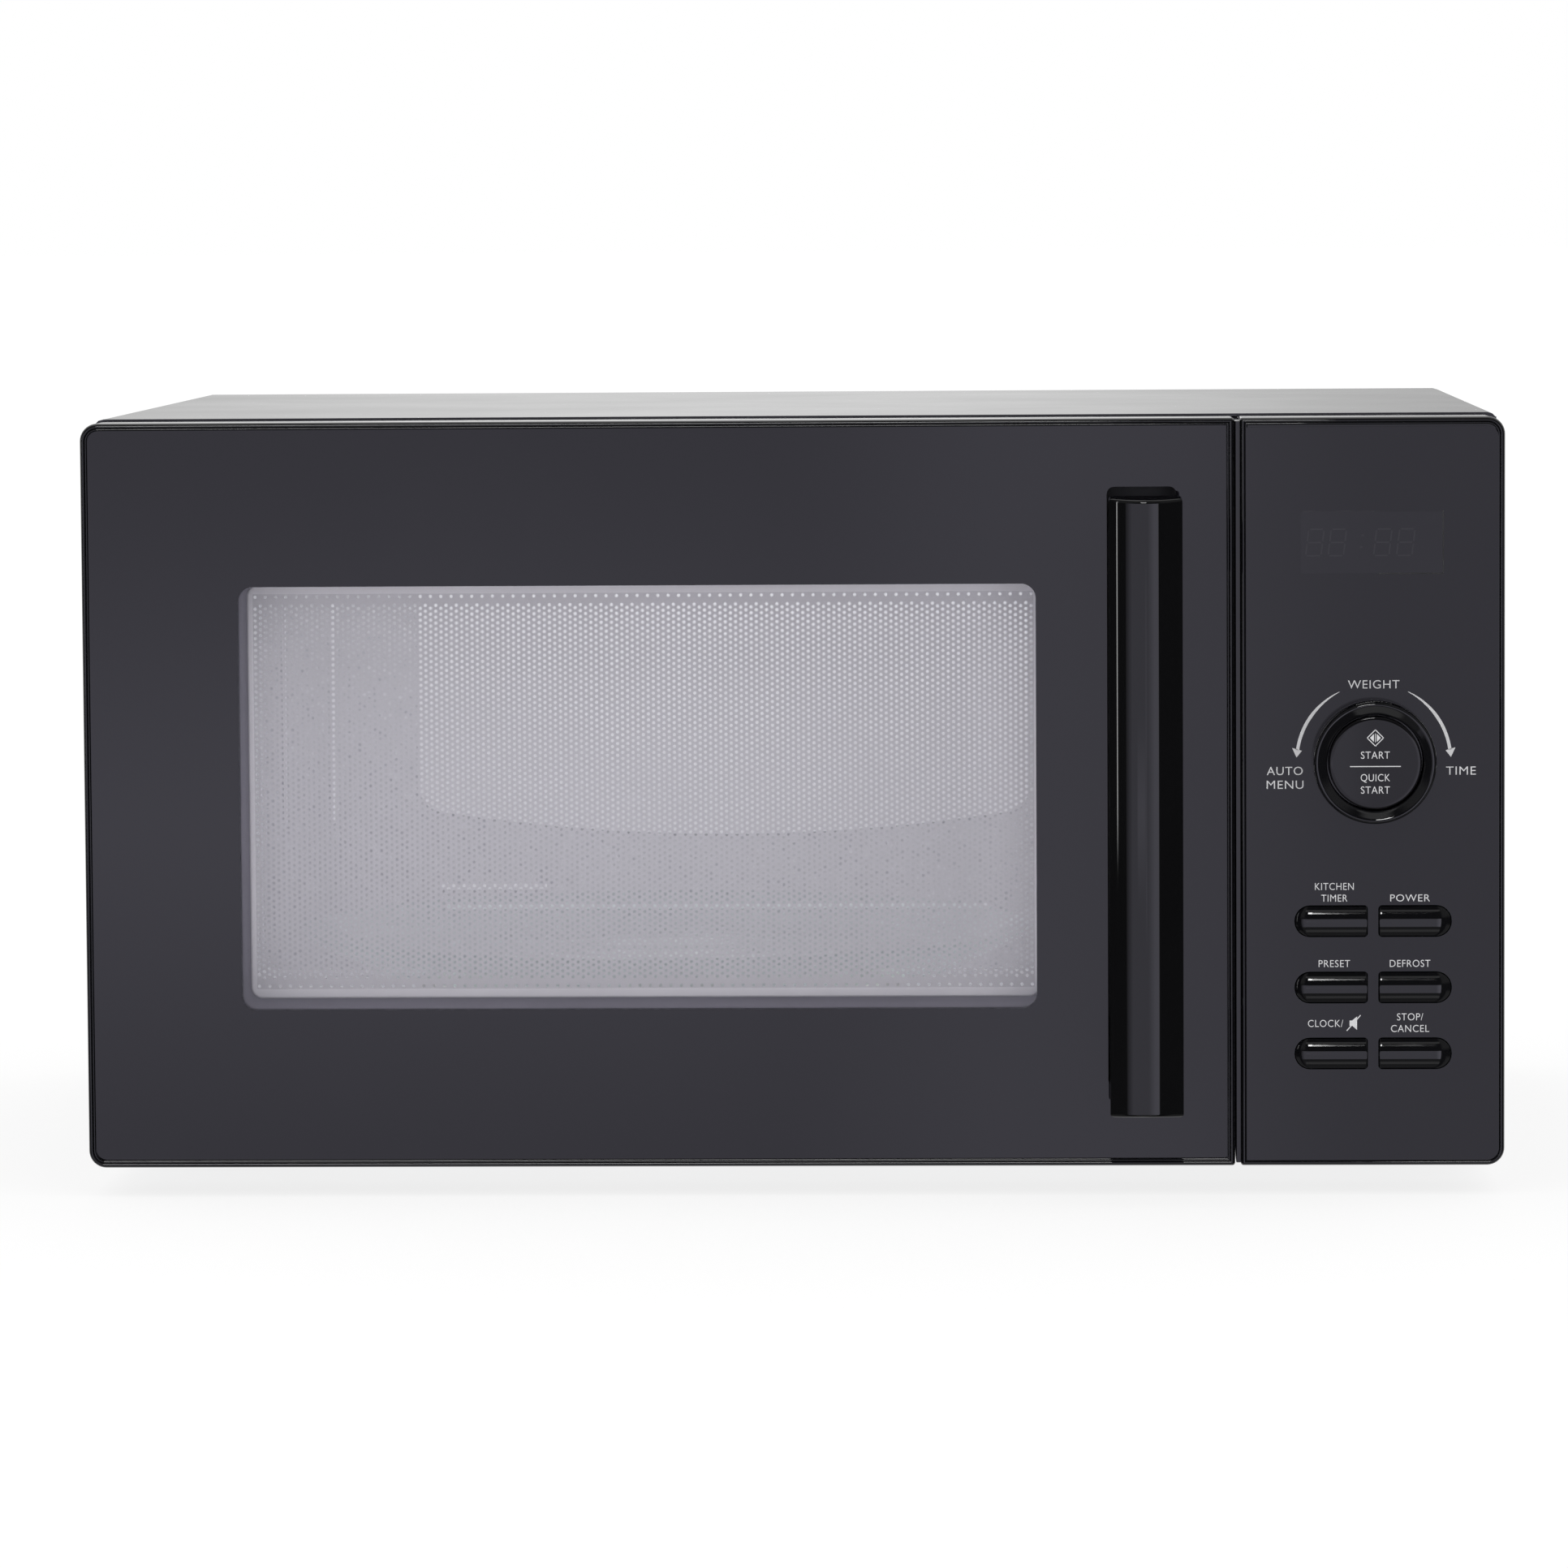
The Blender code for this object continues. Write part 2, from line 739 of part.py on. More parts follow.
def make_fan_shroud():
    shroud = box("fan_shroud", (0.1240, 0.1880, 0.1220), (0.2370, 0.1900, 0.2400), "matte")
    tube = rod("shroud_tube", 0.0480, (FAN_X, 0.1580, FAN_Z), 0.0310, "+Y", segments=36)
    bore = rod("shroud_bore", 0.0460, (FAN_X, 0.1500, FAN_Z), 0.0450, "+Y", segments=36)
    merge(shroud, tube)
    cut(shroud, bore)
    half = 0.0080
    bridge = box(
        "bridge", (FAN_X - half, 0.1440, FAN_Z - 0.0485), (FAN_X + half, 0.1470, FAN_Z + 0.0485)
    )
    posts = []
    for low in (FAN_Z - 0.0485, FAN_Z + 0.0460):
        posts.append(((FAN_X - half, 0.1450, low), (FAN_X + half, 0.1620, low + 0.0025)))
    merge(shroud, bridge, boxes("bridge_posts", posts))
    return cut(shroud, rod("bridge_hole", 0.0030, (FAN_X, 0.1400, FAN_Z), 0.0100, "+Y", segments=16))


def make_fan_motor():
    motor = box("fan_motor", (0.1580, 0.1240, 0.1560), (0.2020, 0.1390, 0.1950), "zinc")
    caps = rod("bearing_caps", 0.0110, (FAN_X, 0.1180, FAN_Z), 0.0257, "+Y", segments=20)
    coil = box("motor_coil", (0.1650, 0.1210, 0.1400), (0.1950, 0.1415, 0.1570))
    merge(motor, caps, coil)
    return cut(motor, rod("fan_bore", 0.0018, (FAN_X, 0.1350, FAN_Z), 0.0200, "+Y", segments=12))


def make_fan_blade():
    hub = rod("fan_blade", 0.0120, (FAN_X, 0.1600, FAN_Z), 0.0160, "+Y", "matte", 20)
    merge(hub, rod("fan_shaft", 0.0015, (FAN_X, 0.1370, FAN_Z), 0.0300, "+Y", segments=12))
    for i in range(5):
        angle = 2 * math.pi * i / 5
        blade = box("vane", (-0.0100, -0.0006, 0.0100), (0.0100, 0.0006, 0.0430))
        turn = Matrix.Rotation(angle, 4, "Y") @ Matrix.Rotation(math.radians(35), 4, "Z")
        blade.matrix_world = (
            Matrix.Translation((FAN_X, 0.1680, FAN_Z))
            @ turn
            @ Matrix.Translation((0.0, 0.0, 0.0265))
        )
        merge(hub, blade)
    return hub


def make_filter_board():
    board = box("filter_board", (0.2335, 0.1000, 0.0200), (0.2350, 0.1800, 0.1000), "board")
    choke = rod("choke", 0.0120, (0.2140, 0.1550, 0.0600), 0.0200, "+X", segments=20)
    line_capacitor = box("line_capacitor", (0.2180, 0.1080, 0.0400), (0.2340, 0.1280, 0.0680))
    return merge(board, choke, line_capacitor)


def make_switch(name, middle_z):
    """A microswitch on the latch board, with its plunger in front of the hook's tip."""
    body = box(
        name,
        (LATCH_X - 0.0038, -0.1205, middle_z - 0.0140),
        (LATCH_X + 0.0062, -0.1045, middle_z + 0.0140),
        "matte",
    )
    plunger = box(
        name + "_plunger",
        (LATCH_X - 0.0010, -0.1232, middle_z - 0.0020),
        (LATCH_X + 0.0010, -0.1200, middle_z + 0.0020),
    )
    return merge(body, plunger)


def make_latch_board():
    board = box("latch_board", (0.1440, CASE_FRONT, 0.0450), (0.1460, -0.1030, 0.2350), "white")
    merge(board, box("latch_flange", (0.1450, CASE_FRONT, 0.0450), (0.1600, -0.1365, 0.2350)))
    make_switch("primary_switch", LATCH_HOOKS[1] + 0.0040)
    make_switch("secondary_switch", LATCH_HOOKS[0] + 0.0040)
    make_switch("monitor_switch", LATCH_HOOKS[0] + 0.0340)


# ---- Control panel ----------------------------------------------------------------------------


def button_outline(column, row, spare):
    """A button's outline, its outer end round and its inner end square, grown by spare."""
    half_width = BUTTON_WIDTH / 2 + spare
    half_height = BUTTON_HEIGHT / 2 + spare
    x, z = BUTTON_COLUMNS[column], BUTTON_ROWS[row]
    round_end, square_end = half_height * 0.98, 0.0010 + spare
    radii = (round_end, square_end) if column == 0 else (square_end, round_end)
    return rounded_rectangle(
        x - half_width, x + half_width, z - half_height, z + half_height, *radii, steps=6
    )


def make_buttons():
    """The six buttons, and the tools that cut their openings."""
    tools = []
    for row, names in enumerate(BUTTON_NAMES):
        for column, name in enumerate(names):
            outline = button_outline(column, row, 0.0)
            soften(prism(name, outline, "Y", -0.1762, -0.1590, "gloss"), 0.0008)
            opening = button_outline(column, row, 0.00035)
            tools.append(prism(name + "_opening", opening, "Y", -0.1760, -0.1660))
    return tools


def make_dial():
    place = (DIAL_X, GLASS_FRONT, DIAL_Z)
    ring_profile = (
        (0.0163, 0.0124),
        (0.0172, 0.0130),
        (0.0190, 0.0130),
        (0.0204, 0.0120),
        (DIAL_RADIUS, 0.0102),
        (DIAL_RADIUS, 0.0005),
        (0.0095, 0.0005),
        (0.0095, -0.0140),
        (0.0070, -0.0140),
        (0.0070, 0.0030),
        (0.0163, 0.0030),
    )
    turned("dial_ring", ring_profile, place, "-Y", "gloss", 48, closed=True)
    button_profile = (
        (0.0, 0.0122),
        (0.0148, 0.0122),
        (0.0158, 0.0114),
        (0.0158, 0.0045),
        (0.0066, 0.0045),
        (0.0066, -0.0155),
        (0.0, -0.0155),
    )
    turned("start_button", button_profile, place, "-Y", "gloss", 48)
    encoder_profile = (
        (0.0099, -0.0080),
        (0.0140, -0.0080),
        (0.0140, -0.0177),
        (0.0099, -0.0177),
    )
    turned("dial_encoder", encoder_profile, place, "-Y", "matte", 32, closed=True)
    return rod("dial_opening", 0.0105, (DIAL_X, -0.1760, DIAL_Z), 0.0100, "+Y", segments=32)


def make_panel_frame(openings):
    outline = rounded_rectangle(PANEL_LEFT, PANEL_RIGHT, FRONT_BOTTOM, FRONT_TOP, 0.0010, 0.0060)
    frame = prism("panel_frame", outline, "Y", RIM_FRONT, FRONT_BACK, "gloss")
    recess_outline = rounded_rectangle(0.1543, 0.2406, 0.0117, 0.2625, 0.0008, 0.0040)
    recess = prism("panel_recess", recess_outline, "Y", -0.1750, WEB_FRONT)
    inside = box("panel_inside", (0.1550, WEB_BACK, 0.0130), (0.2400, -0.1390, 0.2625))
    window = box("display_opening", (0.1695, -0.1760, 0.2090), (0.2250, -0.1660, 0.2370))
    return cut(frame, recess, inside, window, *openings)


def make_panel_face(openings):
    outline = rounded_rectangle(0.1546, 0.2403, 0.0120, 0.2622, 0.0006, 0.0037)
    face = prism("panel_face", outline, "Y", GLASS_FRONT, GLASS_BACK, "face")
    return cut(face, *openings)


def make_control_board():
    board = box("control_board", (0.1570, -0.1560, 0.0200), (0.2380, -0.1544, 0.2550), "board")
    parts = [
        ((0.1650, -0.1550, 0.1950), (0.1850, -0.1420, 0.2200)),
        ((0.1950, -0.1550, 0.1950), (0.2150, -0.1420, 0.2200)),
        ((0.1650, -0.1550, 0.0300), (0.2000, -0.1420, 0.0600)),
    ]
    places = [(x, z) for x in BUTTON_COLUMNS for z in BUTTON_ROWS] + [(DIAL_X, DIAL_Z)]
    for x, z in places:
        parts.append(((x - 0.0030, -0.1573, z - 0.0030), (x + 0.0030, -0.1555, z + 0.0030)))
    merge(board, boxes("board_parts", parts))
    box("display_module", (0.1700, -0.1702, 0.2095), (0.2245, -0.1563, 0.2365), "matte")


def make_control_panel():
    openings = make_buttons()
    openings.append(make_dial())
    make_panel_frame(openings)
    make_panel_face(openings)
    make_control_board()


# ---- Door -------------------------------------------------------------------------------------


def hinge_tools():
    """Slots in the door for the hinge arms, bores for the pins, and the relief at its rear corner."""
    slots = []
    for bottom in (HINGE_ARM_BOTTOM, HINGE_ARM_TOP):
        low = (-0.2440, -0.1602, bottom - 0.0004)
        high = (HINGE_X + 0.0058, -0.1390, bottom + HINGE_ARM_THICKNESS + 0.0004)
        slots.append((low, high))
    low_bore = rod("low_bore", HINGE_PIN + GAP, (HINGE_X, HINGE_Y, 0.0150), 0.0180, "+Z", segments=20)
    high_bore = rod("high_bore", HINGE_PIN + GAP, (HINGE_X, HINGE_Y, 0.2425), 0.0180, "+Z", segments=20)
    corner = [(-0.2445, -0.14523), (-0.2335, -0.13957), (-0.2445, -0.13957)]
    relief = prism("corner_relief", corner, "Z", 0.0, 0.3)
    return boxes("hinge_slots", slots), low_bore, high_bore, relief


def make_door_frame():
    outline = rounded_rectangle(DOOR_LEFT, DOOR_RIGHT, FRONT_BOTTOM, FRONT_TOP, 0.0060, 0.0010)
    frame = prism("door_frame", outline, "Y", RIM_FRONT, FRONT_BACK, "gloss")
    recess_outline = rounded_rectangle(-0.2401, 0.1481, 0.0127, 0.2633, 0.0040, 0.0008)
    recess = prism("door_recess", recess_outline, "Y", -0.1750, WEB_FRONT)
    inside = box("door_inside", (-0.2235, WEB_BACK, 0.0130), (0.1477, -0.1390, 0.2625))
    window = prism(
        "window_opening",
        rounded_rectangle(
            WINDOW_LEFT - 0.003, WINDOW_RIGHT + 0.003, WINDOW_BOTTOM - 0.003, WINDOW_TOP + 0.003,
            0.005, 0.005, 4,
        ),
        "Y",
        -0.1760,
        -0.1660,
    )
    pocket_hole = prism(
        "pocket_hole",
        rounded_rectangle(
            POCKET_LEFT - 0.0015, POCKET_RIGHT + 0.0015, POCKET_BOTTOM - 0.0015, POCKET_TOP + 0.0015,
            0.0035, 0.0035, 4,
        ),
        "Y",
        -0.1760,
        -0.1660,
    )
    cut(frame, recess, inside, window, pocket_hole, *hinge_tools())
    return merge(frame, box("spring_seat", (0.1330, -0.1695, 0.2370), (0.1485, -0.1500, 0.2400)))


def make_door_glass():
    outline = rounded_rectangle(-0.2398, 0.1478, 0.0130, 0.2630, 0.0037, 0.0006)
    glass = prism("door_glass", outline, "Y", GLASS_FRONT, GLASS_BACK, "face")
    opening = prism(
        "glass_opening",
        rounded_rectangle(POCKET_LEFT, POCKET_RIGHT, POCKET_BOTTOM, POCKET_TOP, 0.0025, 0.0025, 4),
        "Y",
        -0.1760,
        -0.1690,
    )
    return cut(glass, opening)


def make_handle_pocket():
    wall = 0.0012
    return shell(
        "handle_pocket",
        (POCKET_LEFT - wall, WEB_FRONT, POCKET_BOTTOM - wall),
        (POCKET_RIGHT + wall, POCKET_FLOOR + wall, POCKET_TOP + wall),
        ((0, -1, 0),),
        wall,
        "matte",
        rounded="Y",
        radius=0.0032,
    )


def make_door_handle():
    """A bar with a convex front and sloping ends, on two legs that stand in the pocket."""
    left, right, back, shoulder = 0.1078, 0.1325, -0.1965, -0.2045
    half, rise = (right - left) / 2, shoulder - HANDLE_FRONT
    radius = (half * half + rise * rise) / (2 * rise)
    middle = ((left + right) / 2, HANDLE_FRONT + radius)
    sweep = math.degrees(math.asin(half / radius))
    outline = arc(middle, radius, 270 - sweep, 270 + sweep, 10)
    chamfer = 0.0015
    outline += [(right, back - chamfer), (right - chamfer, back)]
    outline += [(left + chamfer, back), (left, back - chamfer)]
    bottom, top = 0.0296, 0.2402
    bar = prism("door_handle", outline, "Z", bottom, top, "gloss")
    top_slope = [(-0.1955, 0.24025), (-0.2110, 0.23885), (-0.2110, 0.2420), (-0.1955, 0.2420)]
    bottom_slope = [(-0.1955, 0.0295), (-0.1955, 0.0280), (-0.2110, 0.0280), (-0.2110, 0.0333)]
    cut(
        bar,
        prism("top_slope", top_slope, "X", 0.1000, 0.1400),
        prism("bottom_slope", bottom_slope, "X", 0.1000, 0.1400),
    )
    legs = []
    for low in (0.0440, 0.2120):
        legs.append(((0.1090, -0.1980, low), (0.1295, POCKET_FLOOR - GAP, low + 0.0180)))
    return merge(bar, boxes("handle_legs", legs))


def make_door_screen():
    """The steel screen behind the window: a raised field on a flange."""
    left, right = WINDOW_LEFT + 0.0007, WINDOW_RIGHT + 0.0013
    bottom, top = WINDOW_BOTTOM + 0.0016, WINDOW_TOP - 0.0004
    sheet = 0.0006
    flange = box("door_screen", (-0.2220, -0.1462, 0.0150), (0.1300, -0.1456, 0.2605), "zinc")
    inside = box(
        "screen_inside",
        (left + sheet, -0.1500, bottom + sheet),
        (right - sheet, -0.1440, top - sheet),
    )
    field = shell(
        "screen_field",
        (left, -0.1506, bottom),
        (right, -0.1456, top),
        ((0, 1, 0),),
        sheet,
        None,
        rounded="Y",
        radius=0.0040,
    )
    cut(flange, inside)
    return merge(flange, field)


def make_choke_cover():
    cover = box("choke_cover", (-0.2228, -0.1440, 0.0138), (0.1470, -0.1410, 0.2617), "matte")
    openings = [((-0.1950, -0.1460, 0.0590), (0.0900, -0.1390, 0.2160))]
    for hook_bottom in LATCH_HOOKS:
        low = (LATCH_X - 0.0045, -0.1460, hook_bottom - 0.0045)
        openings.append((low, (LATCH_X + 0.0045, -0.1390, hook_bottom + 0.0165)))
    box("door_inner_window", (-0.2000, -0.1452, 0.0540), (0.0950, -0.1444, 0.2210), "glass")
    return cut(cover, boxes("cover_openings", openings))


def make_door_key():
    """The sprung latch bar in the door, with a hook for each slot of the front plate."""
    half = 0.0020
    low, high = (LATCH_X - half, -0.1640, 0.0600), (LATCH_X + half, -0.1490, 0.2100)
    key = box("door_key", low, high, "white")
    hooks = []
    for bottom in LATCH_HOOKS:
        hooks.append(((LATCH_X - half, -0.1500, bottom), (LATCH_X + half, -0.1240, bottom + 0.0080)))
    catches = []
    for bottom in LATCH_HOOKS:
        catches.append(
            ((LATCH_X - half, -0.1300, bottom - 0.0030), (LATCH_X + half, -0.1240, bottom + 0.0010))
        )
    merge(key, boxes("hooks", hooks), boxes("catches", catches))
    return key, make_key_spring()


def make_key_spring():
    """A compression spring between the top of the latch bar and its seat in the door frame."""
    turns, per_turn, radius, wire = 6, 10, 0.0030, 0.0005
    bottom, top = 0.2110, 0.2361
    curve = bpy.data.curves.new("spring_path", "CURVE")
    curve.dimensions = "3D"
    curve.bevel_depth = wire
    curve.bevel_resolution = 1
    curve.use_fill_caps = True
    spline = curve.splines.new("POLY")
    count = turns * per_turn
    spline.points.add(count)
    for i, point in enumerate(spline.points):
        angle = 2 * math.pi * i / per_turn
        height = bottom + (top - bottom) * i / count
        x = LATCH_X + radius * math.cos(angle)
        point.co = (x, -0.1565 + radius * math.sin(angle), height, 1.0)
    holder = bpy.data.objects.new("spring_path", curve)
    PARTS.objects.link(holder)
    bpy.context.view_layer.update()
    return mesh_of_curve(holder, "door_key_spring", "steel")


def make_door():
    pieces = [
        make_door_frame(),
        make_door_glass(),
        make_handle_pocket(),
        make_door_handle(),
        make_door_screen(),
        make_choke_cover(),
    ]
    pieces.extend(make_door_key())
    pieces.append(PARTS.objects["door_inner_window"])
    pivot("door_pivot", (HINGE_X, HINGE_Y, 0.0), *pieces)


# ---- Assembly ---------------------------------------------------------------------------------


def main():
    make_outer_cover()
    make_base_plate()
    make_back_panel()
    make_front_plate()
    make_feet()
    make_hinges()
    make_cord_gland()
    make_oven_cavity()
    make_waveguide()
    make_lamp()
    make_turntable_motor()
    make_turntable()
    make_magnetron()
    make_transformer()
    make_high_voltage_parts()
    make_fan_shroud()
    make_fan_motor()
    make_fan_blade()
    make_filter_board()
    make_latch_board()
    make_control_panel()
    make_door()


clear_scene()
PARTS = new_collection("microwave_oven")
CUTTERS = new_collection("cutters")
PAINTS = make_paints()
main()
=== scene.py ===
# Looks of a countertop microwave oven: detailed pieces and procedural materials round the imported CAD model.
# Metres, x to the right, y to the back, z up; the front faces -y.

import json
import math

import bmesh
import bpy
import numpy as np
from mathutils import Matrix, Vector

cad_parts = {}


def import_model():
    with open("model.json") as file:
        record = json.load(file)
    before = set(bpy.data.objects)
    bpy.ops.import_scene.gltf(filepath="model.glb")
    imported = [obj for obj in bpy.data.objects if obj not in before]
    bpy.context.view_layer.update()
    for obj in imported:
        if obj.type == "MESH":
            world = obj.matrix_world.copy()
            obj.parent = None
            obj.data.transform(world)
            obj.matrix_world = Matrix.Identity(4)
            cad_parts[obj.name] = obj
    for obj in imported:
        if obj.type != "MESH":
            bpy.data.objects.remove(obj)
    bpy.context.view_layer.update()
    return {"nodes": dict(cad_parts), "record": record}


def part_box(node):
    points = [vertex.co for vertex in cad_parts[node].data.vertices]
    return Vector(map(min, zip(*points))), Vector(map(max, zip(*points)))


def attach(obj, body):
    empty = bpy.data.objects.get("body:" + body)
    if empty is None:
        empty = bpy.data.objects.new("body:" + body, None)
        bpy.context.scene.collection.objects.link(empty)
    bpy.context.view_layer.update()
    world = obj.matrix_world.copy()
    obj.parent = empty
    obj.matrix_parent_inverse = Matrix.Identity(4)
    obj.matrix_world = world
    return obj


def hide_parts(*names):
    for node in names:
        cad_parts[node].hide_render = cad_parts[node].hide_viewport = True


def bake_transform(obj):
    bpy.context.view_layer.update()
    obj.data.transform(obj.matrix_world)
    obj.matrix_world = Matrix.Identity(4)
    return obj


MM = 0.001
EVEN = (1, 1, 1)
WHITE = (1, 1, 1, 1)
MATERIALS = {}  # by slot or look; main() fills it

# Camera
CAMERA_PLACE = Vector((0.0805, -2.7141, 0.3359))
CAMERA_AIM = Vector((-0.0028, -0.1740, 0.1415))
CAMERA_ROLL = math.radians(-0.361)
CAMERA_LENS = 171.6

# Perforated screen
HOLE_COLUMN = 1.78 * MM
HOLE_ROW = 2.04 * MM
HOLE_RADIUS = 0.60 * MM
SCREEN_MARGIN = (1.6 * MM, 2.9 * MM)

# Clear window in the door's glass: low and high corners (x, z), and the radius of its corners
WINDOW_LOW = (-0.1890, 0.0644)
WINDOW_HIGH = (0.0832, 0.2095)
WINDOW_RADIUS = 5 * MM

# Front frames: outer corners, how far the CAD rim is set back, and the rolled edge's profile in mm, as pairs
# of the place in from the outer edge and the height proud of the rim
FRAME_CORNER = 6 * MM
FRAME_INNER_CORNER = 1 * MM
RIM_DEPTH = 2.2 * MM
BEZEL_PROFILE = [(0.0, -2.3), (0.0, -1.9), (0.03, -1.6), (0.12, -1.0), (0.27, -0.5), (0.46, -0.1),
                 (0.68, 0.2), (0.92, 0.38), (1.15, 0.44), (1.38, 0.38), (1.56, 0.22), (1.66, -0.05),
                 (1.74, -0.12), (1.80, 0.0), (1.92, 0.14), (2.08, 0.2), (2.24, 0.18), (2.36, 0.08),
                 (2.43, -0.08), (2.48, -0.16), (2.62, -0.18), (2.62, -2.3)]

# Handle: y of its back and of the shoulder where its front arc starts, and z of its two legs
HANDLE_BACK = -0.1965
HANDLE_SHOULDER = -0.2045
HANDLE_LEGS = ((0.044, 0.062), (0.212, 0.230))

# Dial ring's section in mm: radius, and place behind the dial's front
DIAL_PROFILE = [(7.0, 27.0), (7.0, 10.0), (16.3, 10.0), (16.3, 2.0), (16.5, 1.6), (16.8, 1.38), (17.1, 1.20),
                (17.6, 0.95), (18.2, 0.65), (18.8, 0.35), (19.2, 0.15), (19.5, 0.03), (19.75, 0.0),
                (20.0, 0.06), (20.25, 0.22), (20.5, 0.55), (20.7, 1.1), (20.85, 1.9), (20.95, 3.0),
                (21.0, 5.0), (21.0, 12.5), (9.5, 12.5), (9.5, 27.0)]

# Painted pool of light on the oven's back wall, a lighter raised patch: its right side, and the arch of its
# lower edge where the light ends
LIGHT_POOL_RIGHT = 0.0808
ARCH_CENTRE = -0.036
ARCH_FOOT = 0.0933
ARCH_BEND = 0.70

# Lettering
CAPITAL_HEIGHT = 0.729
LETTER_SPACING = 1.08
STROKE_OFFSET = -0.005
CAPTION_HEIGHT = 2.55 * MM
CAPTION_PITCH = 4.0 * MM
DIAL_LABEL_HEIGHT = 3.0 * MM
START_WORD_HEIGHT = 2.6 * MM
PRINT_THICKNESS = 0.03 * MM
INK_OVERLAP = 0.01 * MM

# Button: gap up to its caption, and the caption's words with their widths, from the bottom up (mm)
BUTTON_CAPTIONS = {
    "kitchen_timer_button": (1.6, (("TIMER", 8.9), ("KITCHEN", 13.2))),
    "power_button": (1.6, (("POWER", 13.5),)),
    "preset_button": (1.9, (("PRESET", 10.7),)),
    "defrost_button": (1.9, (("DEFROST", 13.8),)),
    "stop_button": (2.2, (("CANCEL", 13.0), ("STOP/", 8.9))),
}

# Word, width, and place beside the dial's centre (mm)
DIAL_LABELS = (("WEIGHT", 17.5, 0.0, 26.0), ("AUTO", 12.2, -30.2, -3.4), ("MENU", 12.5, -30.1, -8.1),
               ("TIME", 10.1, 29.6, -3.5))
START_WORDS = (("START", 9.75, 2.75), ("QUICK", 9.9, -4.9), ("START", 9.75, -9.1))

# Plain finishes: name, colour, roughness and what surface() takes beside them
FINISHES = {
    "case": ("case_paint", (0.010, 0.010, 0.011), 0.13,
             dict(drift=0.12, patch=5.0, grain=700.0, relief=0.004, edge=(0.03, 0.03, 0.033), IOR=1.5)),
    "rubber": ("foot_rubber", (0.022, 0.022, 0.022), 0.75, dict(mottle=0.3, grain=900.0, relief=0.06)),
    "matte_black": ("matte_plastic", (0.018, 0.018, 0.019), 0.48,
                    dict(grain=1300.0, relief=0.05, edge=(0.045, 0.045, 0.045))),
    "bright_steel": ("bright_steel", (0.62, 0.62, 0.64), 0.28,
                     dict(mottle=0.08, patch=30.0, grain=500.0, relief=0.01, stretch=(1, 1, 18),
                          edge=(0.8, 0.8, 0.82), Metallic=1.0)),
    # The screen's raised border: the sheet's paint made lighter, as painted light against the shade at the
    # window's edge.
    "screen_steel": ("screen_border", (0.84, 0.832, 0.836), 0.5, dict(mottle=0.03, grain=800.0, relief=0.01)),
    # The screen's flange: the sheet's paint made dark, as painted shade.
    "screen_edge": ("screen_primer", (0.238, 0.222, 0.268), 0.5, dict(mottle=0.06, grain=900.0, relief=0.02)),
    "white_plastic": ("white_plastic", (0.74, 0.74, 0.71), 0.38,
                      dict(mottle=0.04, grain=1200.0, relief=0.02, Subsurface_Weight=0.05)),
    "gloss_black": ("piano_black", (0.004, 0.004, 0.0048), 0.045,
                    dict(drift=0.5, patch=16.0, grain=260.0, relief=0.0015, IOR=1.48)),
    "handle_black": ("handle_black", (0.0036, 0.0036, 0.0040), 0.035, dict(drift=0.5, patch=12.0, IOR=1.44)),
    "disc_black": ("disc_black", (0.0042, 0.0040, 0.0048), 0.04, dict(drift=0.5, patch=16.0, IOR=1.39)),
    # A lighter copy of the oven enamel: painted light for the pool on the back wall and its highlight strips.
    "bright_enamel": ("bright_enamel", (0.86, 0.86, 0.88), 0.4,
                      dict(mottle=0.04, patch=40.0, grain=450.0, relief=0.02)),
    "ink": ("pale_ink", (0.66, 0.66, 0.67), 0.45, dict(mottle=0.05, patch=900.0, grain=3000.0, relief=0.005)),
    "ghost": ("ghost_segments", (0.0145, 0.0142, 0.0165), 0.04, dict(mottle=0.1, IOR=1.45)),
    "smoke": ("display_lens", (0.0052, 0.0050, 0.0066), 0.03, dict(mottle=0.1, patch=60.0, IOR=1.46)),
    "screw": ("screw_zinc", (0.55, 0.55, 0.56), 0.3,
              dict(mottle=0.15, patch=300.0, grain=1800.0, relief=0.02, edge=(0.8, 0.8, 0.8), Metallic=1.0)),
    "black_screw": ("screw_black", (0.03, 0.03, 0.032), 0.35,
                    dict(mottle=0.2, patch=300.0, edge=(0.12, 0.12, 0.12), Metallic=0.6)),
}

# What gloss mirrors, in degrees round from the front and up: the soft window's left, right, low, high and
# softness with its tint, and other areas, each with its brightness last
MIRRORED_WINDOW = (-47, 30, -33, 8, 1.2)
WINDOW_TINT = (0.985, 0.965, 1.15, 1)
MIRRORED_DARK = 0.02
MIRRORED_AREAS = (
    (-20, -1.5, -6.0, -3.2, 1.7, 0.42),
    (-1.0, 1.8, -8.0, 2.0, 1.0, 0.24),
    (-47, 30, -90, -33, 1.2, 0.12),
    (-71.4, -69.2, -5.2, 30, 0.9, 9.0),
    (-12, 2.75, 34.5, 43, 0.15, 26.0),
    (-32, 32, -62, -48, 3.0, 0.4),
    (-32, 32, 46, 56, 2.0, 0.6),
    (-80, -30, 14, 80, 8.0, 0.20),
    (35, 100, 14, 80, 8.0, 0.20),
    (-130, -60, -90, -20, 6.0, 0.20),
    (60, 130, -90, -20, 6.0, 0.20),
)


# ---------------- shader nodes

def node(tree, kind, inputs=None, **settings):
    """Adds a shader node; an input given a socket is linked, and any other value is set."""
    made = tree.nodes.new("ShaderNode" + kind)
    for name, value in settings.items():
        setattr(made, name, value)
    for key, value in (inputs or {}).items():
        if isinstance(value, bpy.types.NodeSocket):
            tree.links.new(value, made.inputs[key])
        else:
            made.inputs[key].default_value = value
    return made


def math_node(tree, operation, *values):
    return node(tree, "Math", dict(enumerate(values)), operation=operation).outputs[0]


def times(tree, first, second):
    return math_node(tree, "MULTIPLY", first, second)


